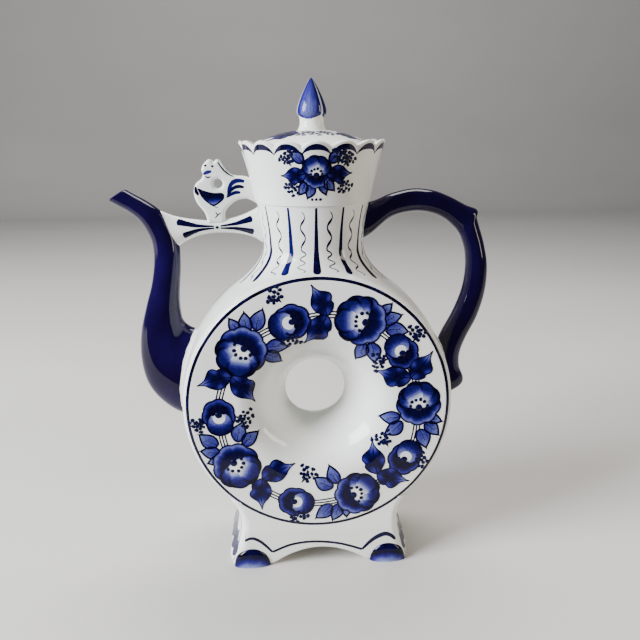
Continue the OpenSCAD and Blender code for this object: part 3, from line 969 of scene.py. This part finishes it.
def lay(film, name, surface, body="pot", both=True):
    """Lays a painting on a surface, and again on the back, turned half round."""
    p, lift = np.concatenate(film["p"]), np.concatenate(film["lift"])
    wash, lane = np.concatenate(film["wash"]), np.concatenate(film["lane"])
    points = onto(surface, p, lift)[0]
    spots = np.array(film["dots"])
    for side, turn_by in (("_front", 1), ("_back", -1)) if both else (("", 1),):
        flip = (turn_by, turn_by, 1)
        full = name + side
        obj = make(full, points * flip, film["faces"], painted_glaze, 50)
        brush(obj, wash, lane)
        fit(obj, body, "white_glaze")
        if not len(spots):
            continue
        place_at, normal = onto(surface, spots[:, :2], spots[:, 3])
        grown = grow(full + "_dots", place_at * flip,
                     {"face": normal * flip, "size": spots[:, 2] * MM}, beads, dot_glaze,
                     Flatness=0.16, Unevenness=0.12, Seed=3)
        fit(outward(grown), body, "white_glaze")


# ---- Flowers, leaves and sprigs ----
# The painter's set forms: full roses with scalloped backs and white throats, half-open
# buds, outlined light leaves, dark two-lobed leaves and sprigs of black berries.


def ovals(length, width, lean, n=40, wobble=0):
    """Egg outline from 0 to its length along x, fatter at the far end."""
    a = np.linspace(0, 2 * math.pi, n, endpoint=False)
    x = length * (1 - np.cos(a)) / 2
    y = width / 2 * np.sin(a) * (1 - lean * np.cos(a))
    ripple_by = 1 + wobble * np.sin(a * 5)
    return np.stack([x * (1 + wobble * np.cos(a * 3)), y * ripple_by], 1)


def turned_by(p, angle):
    """Turns points about 0, 0."""
    c, s = math.cos(angle), math.sin(angle)
    p = np.asarray(p, float)
    return np.stack([p[:, 0] * c - p[:, 1] * s, p[:, 0] * s + p[:, 1] * c], 1)


def scalloped(radius, lobes, depth, n=112, squash=1.0, phase=0.0):
    """Closed outline with round lobes."""
    a = np.linspace(0, 2 * math.pi, n, endpoint=False)
    r = radius * (1 - depth + depth * np.abs(np.sin(lobes * (a + phase) / 2)) ** 0.6)
    return np.stack([r * np.cos(a), r * squash * np.sin(a)], 1)


def rose(film, place, seed):
    """Full rose, 14 mm in radius, opening towards +x."""
    rng = random.Random(seed)
    back = scalloped(14, 9, 0.09, squash=0.96, phase=rng.uniform(0, 0.6))

    def back_wash(x, y, share):
        behind = soft(-x, -6, 8)
        paler = (0.1 + 0.44 * behind) * soft(share, 0.64, 0.95)
        return 0.93 - paler + 0.2 * soft(share, 0.96, 1)

    blob(film, place, back, (1, 0), back_wash, 2, rows=12)
    line(film, place, back, 0.8, 0.96, 3, closed=True)
    petals = [(58, 12.8, 12), (-60, 12.8, 12), (-26, 13.2, 12.5), (24, 13.4, 12.5)]
    for k, (degrees, length, width) in enumerate(petals):
        turn_to = math.radians(degrees + rng.uniform(-5, 5))
        egg = turned_by(ovals(length + rng.uniform(-0.4, 0.4), width, 0.42, wobble=0.015), turn_to)

        def wash(x, y, share, turn_to=turn_to, length=length):
            far = x * math.cos(turn_to) + y * math.sin(turn_to)
            aside = np.abs(y * math.cos(turn_to) - x * math.sin(turn_to))
            rim = soft(share, 0.72, 1) * soft(far / length, 0.25, 0.5) * soft(aside, 0, 5)
            return 0.78 * soft(far / length, 0.12, 0.8) + 0.4 * rim

        middle = turned_by([(length * 0.55, 0)], turn_to)[0]
        blob(film, place, egg, middle, wash, 4 + k, rows=9)
        line(film, place, egg[10:31], 0.65, 0.95, 5 + k)
        vein = turned_by([(length * 0.6, 0.4), (length * 0.78, 0.6), (length * 0.93, 0.5)], turn_to)
        line(film, place, vein, [0.05, 0.4, 0.1], 0.74, 5 + k)
    throat = scalloped(4.1, 7, 0.14, n=42, squash=1.35)
    blob(film, place, throat + (0.2, 0), (0.2, 0), lambda x, y, share: 0.2 * soft(share, 0.7, 1), 10)
    dot(film, place, (-2.6, 0), 2.3, 12)
    for k in range(6):
        a = math.radians(-82 + 33 * k + rng.uniform(-4, 4))
        r = 4.9 + rng.uniform(-0.3, 0.3)
        dot(film, place, (-2.2 + r * math.cos(a), r * math.sin(a) * 1.02),
            rng.uniform(1.05, 1.3), 12)


def bud(film, place, seed):
    """Half-open bud, 10 mm in radius, opening towards +x."""
    rng = random.Random(seed)
    back = scalloped(9.6, 7, 0.1, n=84, squash=0.95, phase=rng.uniform(0, 0.6)) - (0.6, 0)

    def back_wash(x, y, share):
        return 0.96 - 0.42 * soft(share, 0.6, 0.95) + 0.24 * soft(share, 0.95, 1)

    blob(film, place, back, (0.5, 0), back_wash, 2, rows=10)
    line(film, place, back, 0.8, 0.96, 3, closed=True)
    egg = ovals(14, 14.2, 0.1) - (2.8, 0)

    def wash(x, y, share):
        away = np.hypot(x + 0.6, y * 0.8)
        return 0.42 * soft(away, 1.6, 4) + 0.44 * soft(away, 4, 9.4) + 0.16 * soft(share, 0.86, 1)

    blob(film, place, egg, (4, 0), wash, 4, rows=12)
    line(film, place, egg, 0.65, 0.95, 5, closed=True)
    shadow = ovals(6, 10.4, 0.0, 36) - (6.2, 0)
    blob(film, place, shadow, (-3, 0), 0.95, 6)
    glint = scalloped(2.9, 1, 0, n=30, squash=1.15) + (1.2, 0)
    blob(film, place, glint, (1.2, 0), 0.04, 7)
    dot(film, place, (-0.8, 0), 2.0, 9)


def light_leaf(film, place, length):
    """Outlined leaf from its foot at 0, 0 to its tip along +x."""
    s = np.linspace(0, 1, 26)
    half = 0.33 * length * np.sin(math.pi * s ** 0.85) ** 0.75 * (1 - 0.35 * s ** 4) + 0.05
    x = length * s
    bow = 0.06 * length * np.sin(math.pi * s)
    t = np.linspace(-1, 1, 7)[:, None]
    grid = np.stack([x + 0 * t, bow + half * t], -1)
    wash = 0.37 + 0.2 * (1 - s) + 0.06 * np.abs(t)
    patch(film, place(grid), wash, lanes(t * 2.2 + film["n"] % 40, s * 1.5), 1)
    upper, lower = np.stack([x, bow + half], 1), np.stack([x, bow - half], 1)
    rim = np.concatenate([lower, [(length * 1.1, 0.02 * length)], upper[::-1]])
    line(film, place, rim, 1.1, 0.95, 2)
    line(film, place, np.stack([x[:18], bow[:18]], 1), np.linspace(0.6, 0.15, 18), 0.9, 2)
    for k, sign in ((7, 1), (11, -1), (14, 1)):
        vein = [(x[k], bow[k]), (x[k] + length * 0.13, bow[k] + sign * half[k] * 0.55)]
        line(film, place, vein, [0.35, 0.1], 0.85, 2)


def dark_leaf(film, place, length):
    """Dark leaf with a drawn-out tip, from 0, 0 along +x, with two lobes on its -y side."""
    body = [(1, 0.03), (0.88, 0.04), (0.75, 0.1), (0.62, 0.2), (0.46, 0.27), (0.28, 0.25),
            (0.1, 0.13), (0, 0), (0.02, -0.1), (0.1, -0.22), (0.24, -0.31), (0.35, -0.29),
            (0.46, -0.35), (0.58, -0.33), (0.67, -0.22), (0.75, -0.1), (0.87, -0.02), (1, 0.03)]
    body = smoothed(np.array(body) * length, 4)[:-1]

    def wash(x, y, share):
        lobes = np.sin(np.arctan2(y / length + 0.03, x / length - 0.4) * 4 + 1)
        pale = 0.34 * soft(share, 0.3, 0.75) * (0.5 + 0.5 * lobes)
        return 0.92 - pale - 0.24 * soft(x / length, 0.62, 0.92) + 0.2 * soft(share, 0.93, 1)

    blob(film, place, body, (length * 0.4, length * -0.03), wash, 3, rows=11)
    line(film, place, np.concatenate([body, body[:1]]), 0.6, 0.96, 4)
    rib = smoothed(np.array([(0, 0), (0.22, -0.03), (0.5, -0.03), (0.84, 0.03)]) * length, 6)
    line(film, place, rib, np.linspace(0.7, 0.15, len(rib)), 0.97, 4)
    for x, sign in ((0.16, 1), (0.22, -1), (0.36, 1), (0.44, -1)):
        vein = np.array([(x, -0.03), (x + 0.09, sign * 0.12 - 0.03), (x + 0.13, sign * 0.2 - 0.03)])
        line(film, place, vein * length, [0.45, 0.35, 0.1], 0.97, 4)


def sprig(film, place, size, seed):
    """Sprig of black berries on four thin stalks, from 0, 0 along +x."""
    rng = random.Random(seed)
    for degrees in (-30, -8, 14, 34):
        a = math.radians(degrees + rng.uniform(-5, 5))
        reach = size * rng.uniform(0.85, 1.1)
        halfway = (reach * 0.5 * math.cos(a * 0.6), reach * 0.5 * math.sin(a * 0.6))
        stalk = [(0, 0), halfway, (reach * math.cos(a), reach * math.sin(a))]
        line(film, place, smoothed(stalk, 4), 0.35, 0.95, 0)
        for k in range(4):
            t = 0.35 + 0.22 * k
            off = (1 if k % 2 else -1) * size * 0.085
            dot(film, place, (reach * t * math.cos(a) - off * math.sin(a),
                              reach * t * math.sin(a) + off * math.cos(a)), rng.uniform(1.0, 1.3))
        dot(film, place, (reach * 1.06 * math.cos(a), reach * 1.06 * math.sin(a)), 0.95)


# ---- Wreath and painted line on the ring ----
# Five roses and five buds chase each other counter-clockwise round the funnel, joined by
# three thin stems, with leaves and sprigs between them; a banding line runs near the edge.

# each flower: angle from the handle's side, distance from the ring's centre, size
roses = [(0.1, 60.9, 1.02), (64.6, 58.8, 1.12), (141.9, 57.8, 1.13), (216, 62.7, 1.08),
         (291.9, 63, 1.03)]
buds = [(33.5, 59.8, 1.08), (106.9, 55.5, 1.18), (183.9, 60.4, 1.1), (256.2, 64.5, 1.06),
        (326, 64, 1.12)]


def polar(degrees, r):
    """Place on the ring's face by angle and distance from its centre."""
    return np.array([r * math.cos(math.radians(degrees)), r * math.sin(math.radians(degrees))])


here = at((0, 0))


def stems(film, start, end):
    """Three thin stems side by side along an arc between two places."""
    for gap in (-1.8, 0, 1.8):
        a = np.linspace(start[0], end[0], 12)
        r = np.linspace(start[1], end[1], 12) + gap
        line(film, here, [polar(x, y) for x, y in zip(a, r)], 0.85, 0.94, 0)


for k, (angle, r, size) in enumerate(roses):
    film = new_film()
    bud_angle, bud_r, bud_size = buds[k]
    ahead = (bud_angle - angle) % 360
    beyond = (roses[(k + 1) % 5][0] - angle) % 360
    next_r = roses[(k + 1) % 5][1]
    stems(film, (angle + 8, r), (angle + ahead - 6, bud_r))
    stems(film, (angle + ahead + 6, bud_r), (angle + beyond - 8, next_r))
    # five light leaves by their centres: angle past the rose, distance out, length, lean
    for off, out, long, lean in ((-9, 14, 9.5, -5), (-14, 10.5, 11.5, -28), (-20, 7, 13, -50),
                                 (-11, -16.5, 12, -165), (-19, -12.5, 13, -125)):
        way = angle + off + lean
        foot = polar(angle + off, min(r + out, 71.5)) - polar(way, 1) * (long / 2)
        light_leaf(film, at(foot, way), long)
    dark_foot = polar(angle + (20 if k == 1 else 16.5), min(r, 60) - 2)
    dark_leaf(film, at(dark_foot, angle + 50), 21)
    dark_leaf(film, at(dark_foot, angle + 168, 1, -1), 22)
    sprig(film, at(polar(angle + ahead + 1, 68.5), angle + ahead + 28), 9, k)
    sprig(film, at(polar(angle + ahead + 1, 51), angle + ahead + 158), 10, k + 9)
    rose(film, at(polar(angle, r), angle + 92, size), k + 1)
    bud(film, at(polar(angle + ahead, bud_r), angle + ahead + 92, bud_size), k + 5)
    lay(film, "wreath_garland_%d" % (k + 1), ring_front)


def line_face(p):
    """Front of the ring, and of the stand where it stands proud of the ring's edge."""
    out = ring_front(p)
    x, z = out[..., 0], out[..., 2]
    inside = (z < stand_top) & (np.abs(x) < stand_half(z) - 1)
    out[..., 1] = np.where(inside, np.minimum(out[..., 1], -stand_depth(z)), out[..., 1])
    return out


banding_r, banding_width = 78.8, 1.9
film = new_film()
around = np.linspace(0, 2 * math.pi, 240, endpoint=False)
circle = banding_r * np.stack([np.cos(around), np.sin(around)], 1)
line(film, here, circle, banding_width, 0.95, 0, closed=True)
lay(film, "banding_line", line_face)

# ---- Collar painting ----
# A dark crescent under every scallop of the rim, and on the front and back a small bouquet:
# one rose looking up, leaves and sprigs.
collar_mid_r = 40


def collar_face(p):
    """Collar by arc length from the front, measured at its middle radius, and height."""
    return collar_point(-math.pi / 2 + p[..., 0] / collar_mid_r, p[..., 1])


def repeat_tree():
    """Copies one painted scallop round the pot's axis."""
    tree, start = new_tree("round_the_rim", Copies="Int")
    spots = add(tree, "GeometryNodePoints", {"Count": start.outputs["Copies"]})
    index = add(tree, "GeometryNodeInputIndex").outputs[0]
    share = calc(tree, "DIVIDE", index, start.outputs["Copies"])
    angle = calc(tree, "MULTIPLY", share, 2 * math.pi)
    turn = add(tree, "ShaderNodeCombineXYZ", {"Z": angle})
    laid = add(tree, "GeometryNodeInstanceOnPoints", {
        "Points": spots.outputs[0], "Instance": start.outputs[0], "Rotation": turn.outputs[0]})
    return end_tree(tree, laid, painted_glaze)


film = new_film()
share = np.linspace(-0.99, 0.99, 25)
u = share * math.pi / scallops * collar_mid_r
upper = rim_height(u / collar_mid_r - math.pi / 2) - 1.9 - 2.5 * np.abs(share) ** 3
lower = upper - (2.5 * (1 - np.abs(share) ** 2) + 0.8)
t = np.linspace(0, 1, 5)[:, None]
grid = np.stack([u + 0 * t, lower + (upper - lower) * t], -1)
patch(film, grid, 0.9, lanes(t * 2, share * 1.5), 0)
lay(film, "rim_scallops", collar_face, both=False)
run_tree(bpy.data.objects["rim_scallops"], repeat_tree(), Copies=scallops)

film = new_film()
for u, z, degrees, long, mirror in (
        (-7.4, 252.6, 140, 8.6, -1), (7.4, 252.6, 40, 8.6, 1), (-6.4, 241.6, -122, 8, 1),
        (-2.4, 240.6, -112, 8.4, 1), (2.4, 241.4, -62, 7.6, 1), (5.6, 243.6, -50, 8.6, -1)):
    light_leaf(film, at((u, z), degrees, 1, mirror), long)
dark_leaf(film, at((-6.2, 246.4), 186, 1, -1), 15)
dark_leaf(film, at((6.2, 247), -4), 16)
for u, z, degrees in ((-14, 250.5, 118), (-13, 243.5, -118), (12, 251, 72), (15.6, 250.2, 52),
                      (15, 243.5, -66)):
    sprig(film, at((u, z), degrees), 8.4, int(u + z))
rose(film, at((0, 247.4), 90, 0.66), 4)
# finer dots than on the wreath, and finest in the rose
for k, (u, z, r, level) in enumerate(film["dots"]):
    finer = 0.72 if abs(u) < 5 and 244 < z < 254 else 0.85
    film["dots"][k] = (u, z, r * finer, level)
for u in (-2.6, 0, 2.6):
    dot(film, here, (u, 231.9), 0.85)
lay(film, "collar_bouquet", collar_face)

# ---- Neck painting ----
# Long drop strokes that swell down the neck, bending out over the shoulders, with thin wavy
# lines between them.
neck_mid_r, neck_long, waves = 33, 60, 4.4


def neck_face(p):
    """Neck by arc length from the front, measured at its middle radius, and way up."""
    return neck_point(-math.pi / 2 + p[..., 0] / neck_mid_r, p[..., 1] / neck_long)


film = new_film()
s = np.linspace(0, 1, 60)
swell = (0.22 + 0.78 * s ** 1.2) * np.sqrt(1 - np.clip((s - 0.92) / 0.0825, 0, 0.98) ** 2)


def across(spine):
    """How much wider than its own measure the neck's face is at each point."""
    gap = neck_face(spine + (0.5, 0)) - neck_face(spine - (0.5, 0))
    return np.linalg.norm(gap, axis=-1)


# drop strokes: angle at the foot and at the top, how low, how wide, how strong
for start, finish, low, width, wash in (
        (0, 0, 3.4, 4.8, 0.94), (-28, -18.5, 4, 4.8, 0.78), (28, 19, 4, 4.2, 0.94),
        (-58, -41, 8, 3.8, 0.9), (56, 39, 8, 4, 0.94), (-82, -66, 12, 2.6, 0.92),
        (80, 64, 12, 2.6, 0.92)):
    down = 59 + (low - 59) * s
    a = np.radians(finish + (start - finish) * soft(down, 0, 40))
    spine = np.stack([a * neck_mid_r, down], 1)
    line(film, here, spine, (width * swell + 0.3) / across(spine), wash, 0)
for start, finish, low, width in ((-14, -9, 6, 1.1), (14, 10, 6, 1.4), (-42, -27, 9, 1.05),
                                  (41, 28, 8, 1.2), (-70, -50, 12, 0.9), (68, 50, 12, 1)):
    fine = np.linspace(0, 1, 120)
    down = 57 + (low - 57) * fine
    a = np.radians(finish + (start - finish) * soft(down, 0, 40))
    phase = fine * 2 * math.pi * waves
    spine = np.stack([a * neck_mid_r + 1.4 * np.sin(phase), down], 1)
    wide = width * (0.75 + 0.25 * np.cos(phase * 2)) * soft(fine, -0.05, 0.1)
    line(film, here, spine, wide / across(spine), 0.92, 0)
lay(film, "neck_strokes", neck_face)

# ---- Stand painting ----
# An outline following the bosses and the arch on both faces, and dark leaves climbing
# both ends of the stand.


def stand_face(p):
    """Front of the stand by x and height, round its corners."""
    x, z = p[..., 0], p[..., 1]
    depth, half = stand_depth(z), stand_half(z)
    over = np.clip(np.abs(x) - (half - corner), 0, corner * 0.96)
    return np.stack([x, -(depth - corner + np.sqrt(corner ** 2 - over ** 2)), z], -1)


def stand_end(p):
    """Right-hand end of the stand by depth and height."""
    y, z = p[..., 0], p[..., 1]
    return np.stack([stand_half(z) * belly(y, stand_depth(z)), y, z], -1)


film = new_film()
outline = (
    ([(-47.6, 31), (-47.4, 25), (-47.9, 18.6)], 1.2, 1.2),
    ([(-47.9, 18.6), (-45, 20.4), (-41.5, 20.2), (-36.5, 16.6), (-30.6, 9.6)], 1.4, 2.2),
    ([(-30.6, 9.6), (-18, 14.8), (-3.9, 16.2), (12, 14), (27, 8.6)], 1.7, 1.7),
    ([(27, 8.6), (33.6, 15.8), (40.5, 19.6), (45, 18.6), (48.4, 15)], 1.5, 3.2),
)
for path, thin, fat in outline:
    path = smoothed(path, 8)
    width = thin + (fat - thin) * np.sin(math.pi * np.linspace(0, 1, len(path)))
    line(film, here, path, width, 0.93, 0)
lay(film, "stand_outline", stand_face)

film = new_film()
for y, z, degrees, long, mirror in ((0, 9, 90, 30, 1), (-9, 7.5, 112, 24, 1), (9, 7.5, 68, 24, -1),
                                    (-19, 5, 118, 19, 1), (19, 5, 62, 19, -1),
                                    (-27.5, 3.5, 108, 14, 1), (27.5, 3.5, 72, 14, -1)):
    dark_leaf(film, at((y, z), degrees, 1, mirror), long)
for side in (-1, 1):
    path = smoothed([(side * 32.5, 2), (side * 31.5, 12), (side * 32.6, 24), (side * 33, 36)], 8)
    line(film, here, path, 0.9, 0.93, 0)
lay(film, "stand_end_leaves", stand_end)

# ---- Bridge and rooster painting ----
# Four drop strokes leave a dot at the middle of the bridge; the rooster has eyes, wattles,
# a dark-edged wing, three tail feathers and crossed strokes on its leg, on both sides.


def bridge_face(p):
    """Front of the bridge by x and height above the ring's centre."""
    s = np.array(bridge_stations)
    x, z = p[..., 0], p[..., 1]
    top, low = np.interp(x, s[:, 0], s[:, 1]), np.interp(x, s[:, 0], s[:, 2])
    t = np.clip((z - (top + low) / 2) / ((top - low) / 2), -0.97, 0.97)
    return np.stack([x, -np.interp(x, s[:, 0], s[:, 3]) * np.sqrt(1 - t * t), z + ring_z], -1)


def rooster_face(p):
    """Flat front of the rooster."""
    return np.stack([p[..., 0], -rooster_half + 0 * p[..., 0], p[..., 1] + ring_z], -1)


def both_sides(film, name, surface):
    """Lays a painting on the front and, mirrored through the pot's middle plane, behind."""
    for side, flip in (("_front", 1), ("_behind", -1)):
        lay(film, name + side, lambda p: surface(p) * (1, flip, 1), both=False)


film = new_film()
n = np.linspace(0, 1, 26)
drop = (0.16 + 0.84 * n ** 1.5) * np.sqrt(1 - np.clip((n - 0.9) / 0.103, 0, 0.995) ** 2)
for path in ([(-60.6, 105.8), (-71, 106.3), (-83, 108.8)],
             [(-56.6, 105.9), (-47, 107.3), (-37.2, 110.2)],
             [(-60.6, 104.6), (-70, 103.6), (-79.4, 100.2)],
             [(-56.6, 104.6), (-47, 104.2), (-36.4, 102)]):
    path = smoothed(path, 12)
    width = np.interp(np.linspace(0, 1, len(path)), n, drop) * 3.9 + 0.3
    line(film, here, path, width, 0.93, 0)
dot(film, here, (-58.7, 105.1), 0.95)
both_sides(film, "bridge_strokes", bridge_face)

film = new_film()
wing = smoothed([(-69, 128.4), (-66, 126.9), (-60.1, 125.4), (-55.2, 125.3), (-54, 123.8),
                 (-55, 121.6), (-59.7, 118.5), (-63.2, 120), (-66.8, 123.6), (-69, 128.4)], 5)[:-1]
blob(film, here, wing, (-60.6, 122.6), lambda x, y, share: 0.4 + 0.54 * soft(y, 119, 123.4), 0, 7)
line(film, here, wing, 0.9, 0.96, 1, closed=True)
line(film, here, smoothed([(-62.4, 118.9), (-59.6, 117.6), (-57.5, 116.7)], 4), 0.4, 0.95, 0)
for path, wide, wash in (
        ([(-51.8, 124.6), (-49.4, 130.6), (-45.8, 132.8), (-41.2, 132.4)], 2.7, 0.74),
        ([(-52.2, 123.6), (-48.6, 128), (-45, 129.4), (-41.6, 128.8)], 2.2, 0.9),
        ([(-52.8, 122.6), (-49, 125), (-46.4, 125.9), (-43.8, 125.7)], 2.1, 0.78)):
    path = smoothed(path, 6)
    t = np.linspace(0, 1, len(path))
    line(film, here, path, wide * np.sqrt(np.clip(1.02 - (2 * t - 1.1) ** 2, 0.02, 1)), wash, 0)
for path, wide, wash in (
        ([(-65.6, 136.9), (-63.2, 138), (-60.6, 138.6)], 2.2, 0.62),
        ([(-64.8, 135.7), (-62.9, 135), (-61.2, 135.5)], 0.9, 0.9),
        ([(-70.6, 129.6), (-70.2, 126.6), (-69, 124.6)], 2.1, 0.94),
        ([(-56.8, 143.9), (-54.4, 140.6), (-51.4, 137.4), (-47.6, 135.3)], 1.0, 0.96),
        ([(-59.8, 110.6), (-58, 112.5), (-55.9, 113.8)], 0.7, 0.96),
        ([(-59.2, 114.5), (-58.6, 113.2), (-58, 112.5)], 0.6, 0.96)):
    path = smoothed(path, 6)
    swelling = np.sin(math.pi * np.linspace(0.04, 0.96, len(path)))
    line(film, here, path, wide * (0.3 + 0.7 * swelling), wash, 0)
for x, z in ((-64.2, 142), (-60, 141.5)):
    dot(film, here, (x, z), 0.7)
both_sides(film, "rooster_feathers", rooster_face)

# ---- Lid painting ----
# Feathery dark leaves to either side of the knob and small sprigs before and behind it.


def lid_face(p):
    """Top of the lid by x and y."""
    r = np.hypot(p[..., 0], p[..., 1])
    return np.stack([p[..., 0], p[..., 1], dome_top(r)], -1)


film = new_film()
dark_leaf(film, at((-9, -13), -172, 1, -1), 19)
dark_leaf(film, at((-10, -9), 170), 20)
dark_leaf(film, at((14, -12), -10), 15)
sprig(film, at((-3, -11), -100), 10, 6)
sprig(film, at((4, -11), -64), 10, 8)
light_leaf(film, at((12, -1), -2), 12)
lay(film, "lid_leaves", lid_face, body="lid")

# ---- Light and floor ----
# A pale matt table top that sweeps up into the wall, under soft daylight: a large window in
# front to the left, a faint one to the right and a panel above and behind the pot.
floor_material = bpy.data.materials.new("pale_matt_table")
floor_material.use_nodes = True
floor_tree = floor_material.node_tree
floor_shader = floor_tree.nodes["Principled BSDF"]
floor_shader.inputs["Roughness"].default_value = 0.75
grain = add(floor_tree, "ShaderNodeTexNoise", Scale=9, Detail=5)
floor_tree.links.new(ramp(floor_tree, grain.outputs[0], [(0.3, "#C6C3BD"), (0.7, "#CECBC5")]),
                     floor_shader.inputs["Base Color"])
# it starts just in front of the pot, so that the glaze doesn't mirror a bright foreground
front_edge, sweep_y, sweep_r, wall_top, half_width = -200, 2000, 800, 4000, 4000
bend = np.linspace(0, math.pi / 2, 33)
sweep = [(sweep_y + sweep_r * math.sin(t), sweep_r - sweep_r * math.cos(t)) for t in bend]
sweep = [(front_edge, 0)] + sweep + [(sweep_y + sweep_r, wall_top)]
points = [(x, y, z) for y, z in sweep for x in (-half_width, half_width)]
faces = [(k, k + 1, k + 3, k + 2) for k in range(0, len(points) - 2, 2)]
make("table_top", points, faces, floor_material)


def panel(name, place, size, power, color):
    """Soft rectangular light aimed at the pot."""
    data = bpy.data.lights.new(name, "AREA")
    data.shape = "RECTANGLE"
    data.size, data.size_y = size
    data.energy = power
    data.color = linear(color)[:3]
    light = bpy.data.objects.new(name, data)
    aim = (Vector((0, 0, 0.13)) - Vector(place)).to_track_quat("-Z", "Y")
    light.matrix_world = Matrix.Translation(place) @ aim.to_matrix().to_4x4()
    scene.collection.objects.link(light)


panel("window_left", (-1.45, -0.62, 0.85), (0.8, 1.0), 98, "#F4F7FF")
panel("window_right", (1.1, -0.5, 0.5), (0.2, 0.8), 7, "#FFF1E4")
panel("overhead", (0.1, 0.5, 1.3), (0.9, 0.5), 16, "#FFFFFF")
world = bpy.data.worlds.new("room")
world.use_nodes = True
world.node_tree.nodes["Background"].inputs["Color"].default_value = linear("#D9D8D4")
world.node_tree.nodes["Background"].inputs["Strength"].default_value = 0.16
scene.world = world
